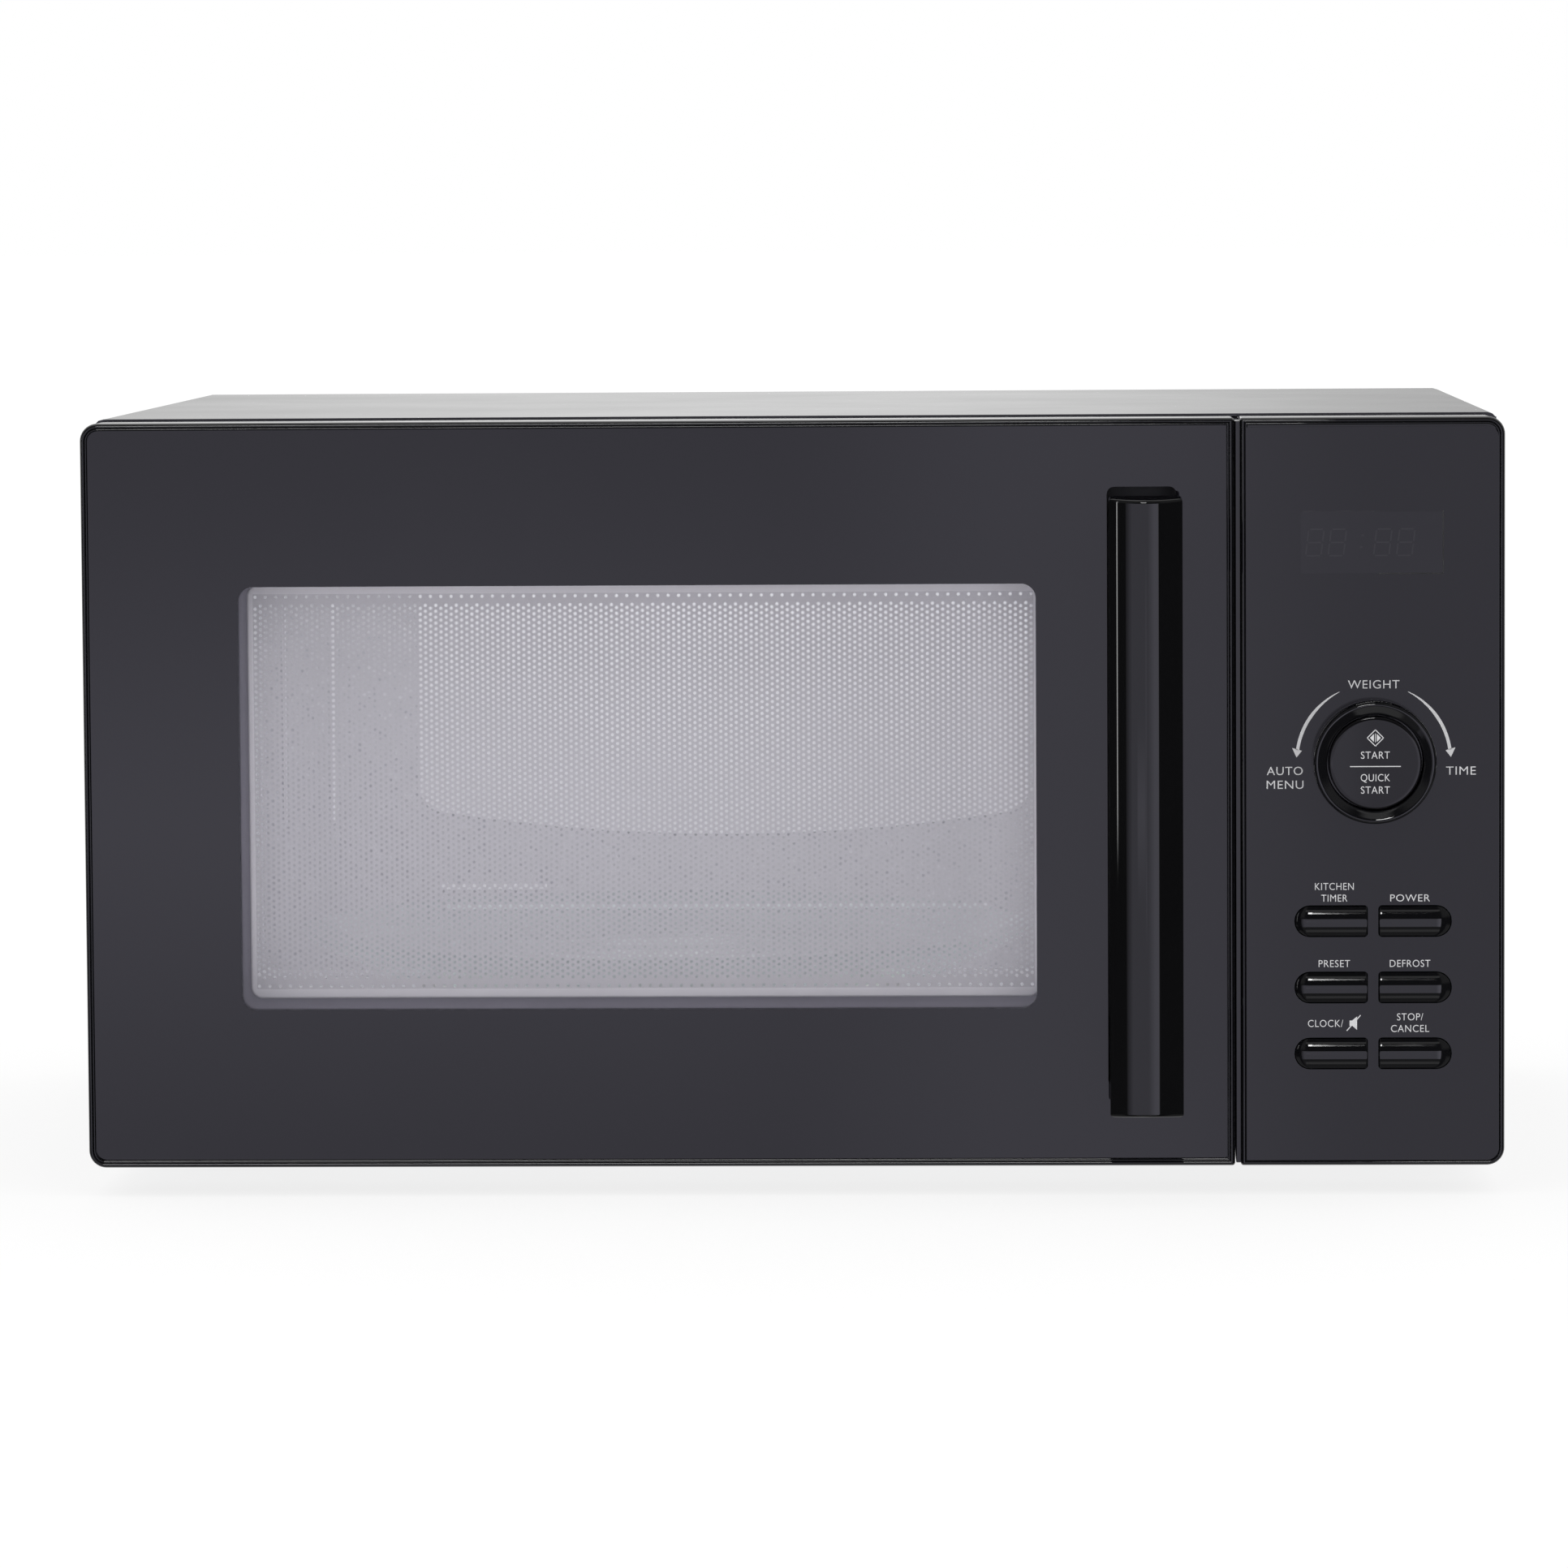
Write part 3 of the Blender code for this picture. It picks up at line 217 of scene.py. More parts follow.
def span(tree, value, start, end, low=0.0, high=1.0, kind="LINEAR"):
    """Maps value from start..end to low..high, clamped."""
    inputs = {"Value": value, "From Min": start, "From Max": end, "To Min": low, "To Max": high}
    return node(tree, "MapRange", inputs, interpolation_type=kind).outputs[0]


def band(tree, value, low, high, soft):
    """1 while value is between low and high, with soft ends."""
    rise = span(tree, value, low - soft, low + soft, 0.0, 1.0, "SMOOTHSTEP")
    fall = span(tree, value, high - soft, high + soft, 1.0, 0.0, "SMOOTHSTEP")
    return times(tree, rise, fall)


def mix_colors(tree, share, first, second):
    return node(tree, "Mix", {0: share, 6: first, 7: second}, data_type="RGBA").outputs[2]


def mix_shaders(tree, share, first, second):
    return node(tree, "MixShader", {0: share, 1: first, 2: second}).outputs[0]


def place_of(tree, stretch=EVEN):
    """Object coordinates: metres in the frame at rest, which follow a moving body."""
    coordinates = node(tree, "TexCoord").outputs["Object"]
    return node(tree, "Mapping", {"Vector": coordinates, "Scale": stretch}).outputs[0]


def parts_of(tree, vector):
    return node(tree, "SeparateXYZ", {0: vector}).outputs


def noise(tree, scale, detail=3.0, stretch=EVEN):
    inputs = {"Vector": place_of(tree, stretch), "Scale": scale, "Detail": detail}
    return node(tree, "TexNoise", inputs).outputs["Fac"]


def patches(tree, scale, detail, start, end, low=0.0, high=1.0, stretch=EVEN):
    """Noise mapped from start..end to low..high."""
    return span(tree, noise(tree, scale, detail, stretch), start, end, low, high)


def cells(tree, scale, feature="F1", output="Color", stretch=EVEN):
    inputs = {"Vector": place_of(tree, stretch), "Scale": scale}
    return node(tree, "TexVoronoi", inputs, feature=feature).outputs[output]


def channel(tree, color, index):
    return node(tree, "SeparateColor", {0: color}).outputs[index]


def waves(tree, direction, scale, **more):
    inputs = {"Vector": place_of(tree), "Scale": scale, **more}
    return node(tree, "TexWave", inputs, bands_direction=direction).outputs["Fac"]


def shade(color, factor):
    return tuple(min(1.0, part * factor) for part in color) + (1.0,)


def edge_mask(tree):
    """0 on flat faces, rising to 1 along edges."""
    rounded = node(tree, "Bevel", {"Radius": 0.5 * MM}, samples=4).outputs[0]
    normal = node(tree, "NewGeometry").outputs["Normal"]
    facing = node(tree, "VectorMath", {0: rounded, 1: normal}, operation="DOT_PRODUCT")
    return span(tree, facing.outputs["Value"], 0.98, 0.80)


def new_material(name):
    material = bpy.data.materials.new(name)
    material.use_nodes = True
    return material, material.node_tree, material.node_tree.nodes["Principled BSDF"]


def finish(tree, shader, color, roughness, relief=None, depth=0.0, **constants):
    """Links colour, roughness and a relief of that depth, and sets the shader's other values."""
    tree.links.new(color, shader.inputs["Base Color"])
    tree.links.new(roughness, shader.inputs["Roughness"])
    if relief is not None:
        inputs = {"Height": relief, "Strength": 1.0, "Distance": depth}
        tree.links.new(node(tree, "Bump", inputs).outputs[0], shader.inputs["Normal"])
    for socket, value in constants.items():
        shader.inputs[socket.replace("_", " ")].default_value = value


def set_surface(tree, output):
    tree.links.new(output, tree.nodes["Material Output"].inputs["Surface"])


# ---------------- materials

def surface(name, color, roughness, mottle=0.12, drift=0.3, patch=25.0, grain=1500.0, relief=0.0,
            stretch=EVEN, edge=None, **constants):
    """Patchy colour, drifting roughness, fine relief (mm) and, where it has an edge colour, worn edges."""
    material, tree, shader = new_material(name)
    tint = mix_colors(tree, patches(tree, patch, 5.0, 0.3, 0.7, stretch=stretch),
                      shade(color, 1 - mottle), shade(color, 1 + mottle))
    if edge is not None:
        worn = times(tree, edge_mask(tree), patches(tree, 180.0, 3.0, 0.4, 0.6, 0.2, 0.8))
        tint = mix_colors(tree, worn, tint, shade(edge, 1.0))
    least, most = roughness * (1 - drift), roughness * (1 + drift)
    gloss = patches(tree, patch * 2.3, 6.0, 0.3, 0.7, least, most, stretch)
    height = noise(tree, grain, 2.0, stretch) if relief else None
    finish(tree, shader, tint, gloss, height, relief * MM, **constants)
    return material


def galvanised():
    """Zinc coat: flat crystals of differing brightness, with fine pitting."""
    material, tree, shader = new_material("galvanised_sheet")
    brightness = channel(tree, cells(tree, 150.0), 0)
    color = mix_colors(tree, brightness, (0.49, 0.50, 0.52, 1), (0.62, 0.63, 0.65, 1))
    color = mix_colors(tree, patches(tree, 9.0, 5.0, 0.45, 0.7, 0.0, 0.35), color, (0.36, 0.36, 0.37, 1))
    color = mix_colors(tree, edge_mask(tree), color, (0.75, 0.76, 0.78, 1))
    roughness = span(tree, brightness, 0.0, 1.0, 0.34, 0.46)
    finish(tree, shader, color, roughness, noise(tree, 900.0), 0.02 * MM, Metallic=1.0)
    return material


def enamel():
    """Light grey oven paint with fine dark and light flecks."""
    material, tree, shader = new_material("oven_enamel")
    level = channel(tree, cells(tree, 520.0), 0)
    dark, light = span(tree, level, 0.86, 0.90), span(tree, level, 0.10, 0.06)
    color = mix_colors(tree, dark, (0.60, 0.60, 0.62, 1), (0.47, 0.47, 0.50, 1))
    color = mix_colors(tree, light, color, (0.70, 0.70, 0.72, 1))
    color = mix_colors(tree, patches(tree, 7.0, 5.0, 0.35, 0.75, 0.0, 0.10), color, (0.50, 0.49, 0.50, 1))
    roughness = patches(tree, 40.0, 3.0, 0.3, 0.7, 0.22, 0.34)
    finish(tree, shader, color, roughness, noise(tree, 450.0), 0.03 * MM)
    return material


def mica():
    """Pressed flakes: layered patches of buff and silver."""
    material, tree, shader = new_material("mica_sheet")
    flakes = channel(tree, cells(tree, 260.0, stretch=(1, 1, 0.6)), 1)
    color = mix_colors(tree, flakes, (0.46, 0.38, 0.28, 1), (0.66, 0.58, 0.47, 1))
    finish(tree, shader, color, span(tree, flakes, 0.0, 1.0, 0.25, 0.6), flakes, 0.05 * MM)
    return material


def winding():
    """Enamelled wire laid in turns."""
    material, tree, shader = new_material("copper_winding")
    turns = waves(tree, "Z", 250.0, Distortion=0.4, Detail=1.0)
    color = mix_colors(tree, turns, (0.16, 0.05, 0.015, 1), (0.55, 0.23, 0.08, 1))
    roughness = patches(tree, 120.0, 3.0, 0.3, 0.7, 0.2, 0.4)
    finish(tree, shader, color, roughness, turns, 0.25 * MM, Metallic=0.6, Coat_Weight=0.6)
    return material


def laminated_core():
    """Stacked steel sheets, seen as fine lines, with some rust."""
    material, tree, shader = new_material("laminated_core")
    sheets = waves(tree, "Y", 420.0, Distortion=0.05)
    color = mix_colors(tree, sheets, (0.10, 0.10, 0.11, 1), (0.34, 0.34, 0.35, 1))
    color = mix_colors(tree, patches(tree, 60.0, 6.0, 0.55, 0.75, 0.0, 0.5), color, (0.22, 0.11, 0.05, 1))
    finish(tree, shader, color, span(tree, sheets, 0.0, 1.0, 0.6, 0.35), sheets, 0.1 * MM, Metallic=0.8)
    return material


def circuit_board():
    """Green solder mask over copper tracks, with bright pads."""
    material, tree, shader = new_material("circuit_board")
    track = cells(tree, 170.0, feature="DISTANCE_TO_EDGE", output="Distance")
    masked = span(tree, track, 0.05, 0.09)
    color = mix_colors(tree, masked, (0.05, 0.22, 0.10, 1), (0.015, 0.10, 0.045, 1))
    pad = span(tree, cells(tree, 330.0, output="Distance"), 0.10, 0.14, 1.0, 0.0)
    color = mix_colors(tree, pad, color, (0.62, 0.62, 0.60, 1))
    finish(tree, shader, color, span(tree, track, 0.0, 0.2, 0.25, 0.42), track, 0.05 * MM)
    tree.links.new(pad, shader.inputs["Metallic"])
    return material


def thin_pane(tree, tint, roughness):
    """A pane's face: light passes straight through and a little is mirrored, more at grazing angles."""
    back = node(tree, "NewGeometry").outputs["Backfacing"]
    ior = node(tree, "Mix", {0: back, 2: 1.5, 3: 1 / 1.5}).outputs[0]
    share = node(tree, "Fresnel", {"IOR": ior}).outputs[0]
    clear = node(tree, "BsdfTransparent", {"Color": tint}).outputs[0]
    mirror = node(tree, "BsdfGlossy", {"Color": WHITE, "Roughness": roughness}).outputs[0]
    return mix_shaders(tree, share, clear, mirror)


def pane_material(name, tint):
    """Clear glass or film, with faint smears."""
    material, tree, shader = new_material(name)
    smear = patches(tree, 18.0, 6.0, 0.45, 0.75, 0.0, 0.05)
    pane = thin_pane(tree, tint, span(tree, smear, 0.0, 0.05, 0.01, 0.12))
    haze = node(tree, "BsdfDiffuse", {"Color": (0.8, 0.8, 0.8, 1)}).outputs[0]
    set_surface(tree, mix_shaders(tree, smear, pane, haze))
    tree.nodes.remove(shader)
    return material


def window_mask(tree):
    """1 inside the window's rounded rectangle."""
    parts = parts_of(tree, place_of(tree))
    squares = []
    for part, first, last in zip((parts[0], parts[2]), WINDOW_LOW, WINDOW_HIGH):
        offset = math_node(tree, "ABSOLUTE", math_node(tree, "SUBTRACT", part, (first + last) / 2))
        reach = (last - first) / 2 - WINDOW_RADIUS
        beyond = math_node(tree, "MAXIMUM", math_node(tree, "SUBTRACT", offset, reach), 0.0)
        squares.append(times(tree, beyond, beyond))
    distance = math_node(tree, "SQRT", math_node(tree, "ADD", *squares))
    return span(tree, distance, WINDOW_RADIUS + 0.05 * MM, WINDOW_RADIUS - 0.05 * MM, 0.0, 1.0)


def printed_glass(name, depth):
    """Deep violet-black print behind a smooth face, with faint smudges; depth scales its colour."""
    material, tree, shader = new_material(name)
    smudge = patches(tree, 11.0, 6.0, 0.5, 0.8)
    dark, light = shade((0.0050, 0.0046, 0.0064), depth), shade((0.0062, 0.0058, 0.0076), depth)
    roughness = span(tree, smudge, 0.0, 1.0, 0.02, 0.06)
    finish(tree, shader, mix_colors(tree, smudge, dark, light), roughness, IOR=1.45)
    return material


def door_glass():
    """The door's glass: printed dark behind, with a clear window."""
    material = printed_glass("door_glass_print", 1.0)
    tree = material.node_tree
    pane = thin_pane(tree, (0.96, 0.955, 0.97, 1), 0.01)
    printed = tree.nodes["Principled BSDF"].outputs[0]
    set_surface(tree, mix_shaders(tree, window_mask(tree), printed, pane))
    return material


def screen_paint_with_painted_light():
    """Pale paint on the perforated screen, lighter at its border: painted light against the shade that the
    recess casts there.
    """
    material, tree, shader = new_material("screen_paint_with_painted_light")
    parts = parts_of(tree, place_of(tree))
    soft, inset = 14 * MM, 15 * MM
    # inner is 1 in the middle; towards the border the colour goes lighter, a painted light.
    inner = times(tree, *[band(tree, part, first + inset, last - inset, soft)
                          for part, first, last in zip((parts[0], parts[2]), WINDOW_LOW, WINDOW_HIGH)])
    color = mix_colors(tree, inner, (0.64, 0.632, 0.636, 1), (0.50, 0.496, 0.500, 1))
    color = mix_colors(tree, patches(tree, 60.0, 5.0, 0.35, 0.65, 0.0, 0.08), color, (0.5, 0.495, 0.505, 1))
    roughness = patches(tree, 140.0, 3.0, 0.3, 0.7, 0.42, 0.58)
    finish(tree, shader, color, roughness, noise(tree, 800.0), 0.01 * MM)
    return material


def make_materials():
    """Every material by its slot in the record, or by the look that a piece asks for."""
    made = {key: surface(*row[:3], **row[3]) for key, row in FINISHES.items()}
    made.update({
        "galvanised": galvanised(),
        "enamel": enamel(),
        "mica": mica(),
        "clear_glass": pane_material("tray_glass", (0.93, 0.97, 0.96, 1)),
        "clear_film": pane_material("window_film", (0.97, 0.97, 0.96, 1)),
        "screen_mesh": screen_paint_with_painted_light(),
        "copper": winding(),
        "core": laminated_core(),
        "board": circuit_board(),
        "face_glass": door_glass(),
        "face_panel": printed_glass("panel_face_print", 0.62),
    })
    return made


# ---------------- mesh helpers

def smooth(mesh, degrees):
    """Outward faces, smooth but for flat caps, with sharp edges where faces meet at more than the angle."""
    shape = bmesh.new()
    shape.from_mesh(mesh)
    bmesh.ops.recalc_face_normals(shape, faces=shape.faces)
    for face in shape.faces:
        face.smooth = len(face.verts) <= 4
    for edge in shape.edges:
        edge.smooth = edge.calc_face_angle(0.0) < math.radians(degrees)
    shape.to_mesh(mesh)
    shape.free()


def add_object(name, data):
    made = bpy.data.objects.new(name, data)
    bpy.context.scene.collection.objects.link(made)
    return made


def add_mesh(name, shape, material, degrees=None):
    """An object of (points, faces), smoothed where an angle is given."""
    points, faces = shape
    mesh = bpy.data.meshes.new(name)
    mesh.from_pydata([tuple(point) for point in points], [], faces)
    mesh.validate()
    if degrees is not None:
        smooth(mesh, degrees)
    mesh.materials.append(material)
    return add_object(name, mesh)


def piece(name, shape, body, slot, look=None, stands_for=(), degrees=32.0):
    """Shows (points, faces) as one piece that rides on a body, in place of the CAD nodes named.

    Its material is the slot's own, or the one named by look."""
    made = add_mesh(name, shape, MATERIALS[look or slot], degrees)
    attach(made, body)
    if stands_for:
        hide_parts(*stands_for)


def loft(rows, ring=False):
    """Points and faces of a skin through closed loops of equal length; capped, or closed round when ring."""
    count = len(rows[0])
    points = [point for row in rows for point in row]
    faces = []
    for row in range(len(rows) if ring else len(rows) - 1):
        here, there = row * count, (row + 1) % len(rows) * count
        for index in range(count):
            after = (index + 1) % count
            faces.append((here + index, here + after, there + after, there + index))
    if not ring:
        faces.append(tuple(range(count)))
        faces.append(tuple(range((len(rows) - 1) * count, len(rows) * count)))
    return points, faces


def joined(parts):
    """One (points, faces) from several."""
    points, faces = [], []
    for more_points, more_faces in parts:
        start = len(points)
        points += list(more_points)
        faces += [tuple(start + index for index in face) for face in more_faces]
    return points, faces


def at_depth(outline, y):
    """An outline of (x, z) as points at one y."""
    return [(x, y, z) for x, z in outline]


def arc(centre, radius, start, end, steps):
    """Points round part of a circle, angles in degrees."""
    angles = [math.radians(start + (end - start) * step / steps) for step in range(steps + 1)]
    return [(centre[0] + radius * math.cos(a), centre[1] + radius * math.sin(a)) for a in angles]


def circle(radius, steps):
    return [(radius * math.cos(2 * math.pi * i / steps), radius * math.sin(2 * math.pi * i / steps))
            for i in range(steps)]


def turned(profile, centre, axis, steps, ring=False):
    """A solid of revolution: profile holds (radius, place along the axis y or z); centre is across it."""
    rows = []
    for radius, along in profile:
        outline = [(centre[0] + a, centre[1] + b) for a, b in circle(radius, steps)]
        rows.append(at_depth(outline, along) if axis == "y" else [(x, y, along) for x, y in outline])
    return loft(rows, ring)


def rounded_rectangle(low, high, radii, steps=8):
    """Counterclockwise outline from the low corner; radii are for the corners low, right, high and left."""
    corners = ((low[0], low[1], 180), (high[0], low[1], 270), (high[0], high[1], 0), (low[0], high[1], 90))
    inward = ((1, 1), (-1, 1), (-1, -1), (1, -1))
    outline = []
    for (x, z, start), (right, up), radius in zip(corners, inward, radii):
        outline += arc((x + right * radius, z + up * radius), radius, start, start + 90, steps)
    return outline


def inset_rectangle(low, high, radii, inset, steps=8):
    least = 0.05 * MM
    return rounded_rectangle((low[0] + inset, low[1] + inset), (high[0] - inset, high[1] - inset),
                             [max(radius - inset, least) for radius in radii], steps)


def rounding(radius, steps=6):
    """(inset, drop) pairs round an edge, from the face to the side."""
    return [(radius * (1 - math.sin(a)), radius * (1 - math.cos(a)))
            for a in (math.pi / 2 * i / steps for i in range(steps + 1))]


def slab(low, high, radius, front, back, edge, steps):
    """A rounded rectangle from y=front to y=back with its front edge rounded."""
    radii = [radius] * 4
    rows = [at_depth(inset_rectangle(low, high, radii, inset, steps), front + drop)
            for inset, drop in rounding(edge)]
    rows.append(at_depth(inset_rectangle(low, high, radii, 0.0, steps), back))
    return loft(rows)


def plate(outline, y, thickness=PRINT_THICKNESS):
    """A thin flat shape with its face towards -y, standing a little proud of y."""
    return loft([at_depth(outline, y - thickness), at_depth(outline, y + INK_OVERLAP)])


def front_box(name):
    """Low and high (x, z) corners of a node, with its front and back y."""
    low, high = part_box(name)
    return (low.x, low.z), (high.x, high.z), low.y, high.y


def middle(name):
    low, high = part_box(name)
    return (low + high) / 2


# ---------------- lettering

def text_points(text, height, width, centre, y):
    """A word as thin raised ink with the given capital height and width, centred on centre (x, z)."""
    curve = bpy.data.curves.new("words", "FONT")
    curve.body = text
    curve.space_character = LETTER_SPACING
    curve.resolution_u = 4
    curve.offset = STROKE_OFFSET
    curve.extrude = 0.5
    holder = add_object("words", curve)
    bpy.context.view_layer.update()
    mesh = bpy.data.meshes.new_from_object(holder.evaluated_get(bpy.context.evaluated_depsgraph_get()))
    points = np.array([vertex.co for vertex in mesh.vertices])
    faces = [tuple(face.vertices) for face in mesh.polygons]
    bpy.data.objects.remove(holder)
    low, high = points.min(axis=0), points.max(axis=0)
    scale = height / CAPITAL_HEIGHT
    across = width / (high[0] - low[0])
    depth = PRINT_THICKNESS + INK_OVERLAP
    made = [(centre[0] + (x - (low[0] + high[0]) / 2) * across,
             y + INK_OVERLAP - depth / 2 - z * depth,
             centre[1] - height / 2 + v * scale) for x, v, z in points]
    return made, faces


def stroke(start, end, width):
    """Outline of a straight line of the given width."""
    start, end = Vector(start), Vector(end)
    along = (end - start).normalized()
    side = Vector((-along.y, along.x)) * width / 2
    return [tuple(start + side), tuple(start - side), tuple(end - side), tuple(end + side)]


def arc_arrow(centre, radius, start, end, y):
    """A sweep round the dial that widens from a point to its arrow head."""
    steps = 28
    outer, inner = [], []
    for step in range(steps + 1):
        share = step / steps
        angle = math.radians(start + (end - start) * share)
        half = (0.07 + 0.48 * min(1.0, share / 0.5) ** 0.8) * MM
        for side, reach in ((outer, radius + half), (inner, radius - half)):
            side.append((centre[0] + reach * math.cos(angle), centre[1] + reach * math.sin(angle)))
    angle = math.radians(end)
    out = Vector((math.cos(angle), math.sin(angle)))
    ahead = Vector((-out.y, out.x)) * math.copysign(1, end - start)
    tip = Vector(centre) + out * radius
    head = [tip + out * 1.95 * MM - ahead * 0.45 * MM, tip + ahead * 2.6 * MM,
            tip - out * 1.5 * MM + ahead * 0.05 * MM]
    sweep = [plate(quad, y) for quad in zip(outer[:-1], outer[1:], inner[1:], inner[:-1])]
    return joined(sweep + [plate([tuple(point) for point in head], y)])


def speaker_icon(centre, y):
    """A crossed-out loudspeaker."""
    x, z = centre
    shape = [(-1.35, -0.9), (-0.45, -0.9), (1.2, -2.3), (1.2, 2.3), (-0.45, 0.9), (-1.35, 0.9)]
    body = [(x + a * MM, z + b * MM) for a, b in shape]
    slash = stroke((x - 2.3 * MM, z - 2.6 * MM), (x + 2.4 * MM, z + 2.7 * MM), 0.34 * MM)
    return joined([plate(body, y), plate(slash, y, PRINT_THICKNESS * 1.2)])


def panel_lettering():
    """Words, arrows and the icon printed on the control panel."""
    face = front_box("panel_face")[2]
    dial_at = middle("dial_ring")
    parts = []

    def word(text, height, width, x, z):
        parts.append(text_points(text, height, width * MM, (x, z), face))

    for name, (gap, words) in BUTTON_CAPTIONS.items():
        x, top = middle(name).x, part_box(name)[1].z
        toward_gap = 1.1 * MM if x < dial_at.x - 1 * MM else -1.7 * MM
        for row, (text, width) in enumerate(words):
            z = top + gap * MM + row * CAPTION_PITCH + CAPTION_HEIGHT / 2
            word(text, CAPTION_HEIGHT, width, x + toward_gap, z)
    x, top = middle("clock_button").x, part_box("clock_button")[1].z
    line = top + 2.0 * MM + CAPTION_PITCH / 2 + CAPTION_HEIGHT / 2
    word("CLOCK/", CAPTION_HEIGHT, 12.0, x - 1.9 * MM, line)
    parts.append(speaker_icon((x + 7.6 * MM, line), face))
    for text, width, right, up in DIAL_LABELS:
        word(text, DIAL_LABEL_HEIGHT, width, dial_at.x + right * MM, dial_at.z + up * MM)
    for start, end in ((116.4, 172.0), (63.6, 8.0)):
        parts.append(arc_arrow((dial_at.x, dial_at.z), 26.1 * MM, start, end, face))
    piece("panel_lettering", joined(parts), "cabinet", "white_plastic", "ink", degrees=None)


def start_lettering():
    """The words, rule and diamond on the start button."""
    x, z = middle("start_button").x, middle("start_button").z
    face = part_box("start_button")[0].y
    parts = [text_points(text, START_WORD_HEIGHT, width * MM, (x, z + up * MM), face)
             for text, width, up in START_WORDS]
    rule = z - 1.2 * MM
    shapes = [stroke((x - 8.6 * MM, rule), (x + 8.6 * MM, rule), 0.3 * MM)]
    top, reach = z + 8.5 * MM, 2.75 * MM
    diamond = [(x - reach, top), (x, top - reach), (x + reach, top), (x, top + reach)]
    shapes += [stroke(start, end, 0.30 * MM) for start, end in zip(diamond, diamond[1:] + diamond[:1])]
    for side in (-1, 1):
        base = x + side * 0.5 * MM
        shapes.append([(base, top - 1.35 * MM), (base, top + 1.35 * MM), (x + side * 1.85 * MM, top)])
    shapes.append(stroke((x, top - 1.5 * MM), (x, top + 1.5 * MM), 0.22 * MM))
    parts += [plate(shape, face) for shape in shapes]
    piece("start_lettering", joined(parts), "start_button", "white_plastic", "ink", degrees=None)


def display():
    """The dark lens of the display with its unlit segments, and a shadow line below it and to its right."""
    face = front_box("panel_face")[2]
    proud = face - 0.03 * MM
    centre = middle("display_module")
    wide, tall = 24.2 * MM, 10.6 * MM
    low, high = (centre.x - wide, centre.z - tall), (centre.x + wide, centre.z + tall)
    lens = slab(low, high, 0.4 * MM, face - 0.04 * MM, face + 0.01 * MM, 0.03 * MM, 3)
    piece("display_lens", lens, "cabinet", "face_panel", "smoke")
    corner = (high[0], low[1])
    shadow = [plate(stroke(corner, high, 0.35 * MM), proud),
              plate(stroke((centre.x + 2 * MM, low[1]), corner, 0.35 * MM), proud)]
    piece("display_shadow", joined(shadow), "cabinet", "face_panel", "rubber", degrees=None)
    parts = []
    base = centre.z - 4.5 * MM
    for offset in (-22.4, -14.8, 0.6, 8.4):
        parts += digit_segments(centre.x + offset * MM, base, proud)
    half = 0.4 * MM
    for height in (2.6, 6.6):
        x = centre.x + (-3.9 + slant(height)) * MM
        bottom, top = base + height * MM, base + (height + 0.6) * MM
        parts.append(plate([(x - half, bottom), (x + half, bottom), (x + half, top), (x - half, top)], proud))
    piece("display_segments", joined(parts), "cabinet", "face_panel", "ghost", degrees=None)


def slant(height):
    return 0.12 * height


def digit_segments(left, base, y):
    """Seven slanted bars of one digit."""
    wide, high, gap = 5.2, 9.0, 0.45
    ends = [((gap, z), (wide - gap, z)) for z in (0, high / 2, high)]
    for x in (0, wide):
        ends += [((x, gap), (x, high / 2 - gap)), ((x, high / 2 + gap), (x, high - gap))]
    shapes = []
    for pair in ends:
        start, end = [(left + (x + slant(z)) * MM, base + z * MM) for x, z in pair]
        shapes.append(plate(stroke(start, end, 0.5 * MM), y))
    return shapes


# ---------------- door

def screen_sheet(low, high, y):
    """A flat sheet with staggered round holes, a cell for each hole, and the sheet's low and high corners."""
    columns = int((high[0] - low[0]) // HOLE_COLUMN)
    rows = int((high[1] - low[1]) // HOLE_ROW)
    left = (low[0] + high[0] - columns * HOLE_COLUMN) / 2
    bottom = (low[1] + high[1] - rows * HOLE_ROW) / 2
    right, top = left + columns * HOLE_COLUMN, bottom + rows * HOLE_ROW
    hole = circle(HOLE_RADIUS, 8)
    points, faces = [], []

    def cell(x0, x1, z0, z1, holed):
        start, ring = len(points), len(points) + 4
        points.extend([(x0, y, z0), (x1, y, z0), (x1, y, z1), (x0, y, z1)])
        if not holed:
            faces.append((start, start + 1, start + 2, start + 3))
            return
        points.extend([((x0 + x1) / 2 + a, y, (z0 + z1) / 2 + b) for a, b in hole])
        faces.extend([(start + 1, start + 2, ring + 1, ring, ring + 7),
                      (start + 2, start + 3, ring + 3, ring + 2, ring + 1),
                      (start + 3, start, ring + 5, ring + 4, ring + 3),
                      (start, start + 1, ring + 7, ring + 6, ring + 5)])

    for column in range(columns):
        x0, x1 = left + column * HOLE_COLUMN, left + (column + 1) * HOLE_COLUMN
        staggered = column % 2
        for row in range(rows - staggered):
            z0 = bottom + (row + 0.5 * staggered) * HOLE_ROW
            cell(x0, x1, z0, z0 + HOLE_ROW, has_hole(column, row, rows - staggered))
        if staggered:
            cell(x0, x1, bottom, bottom + HOLE_ROW / 2, False)
            cell(x0, x1, top - HOLE_ROW / 2, top, False)
    return (points, faces), (left, bottom), (right, top)


def has_hole(column, row, rows):
    """Every cell has a hole, but the outermost rows have half as many and stand apart."""
    return min(row, rows - 1 - row) != 1 - column % 2


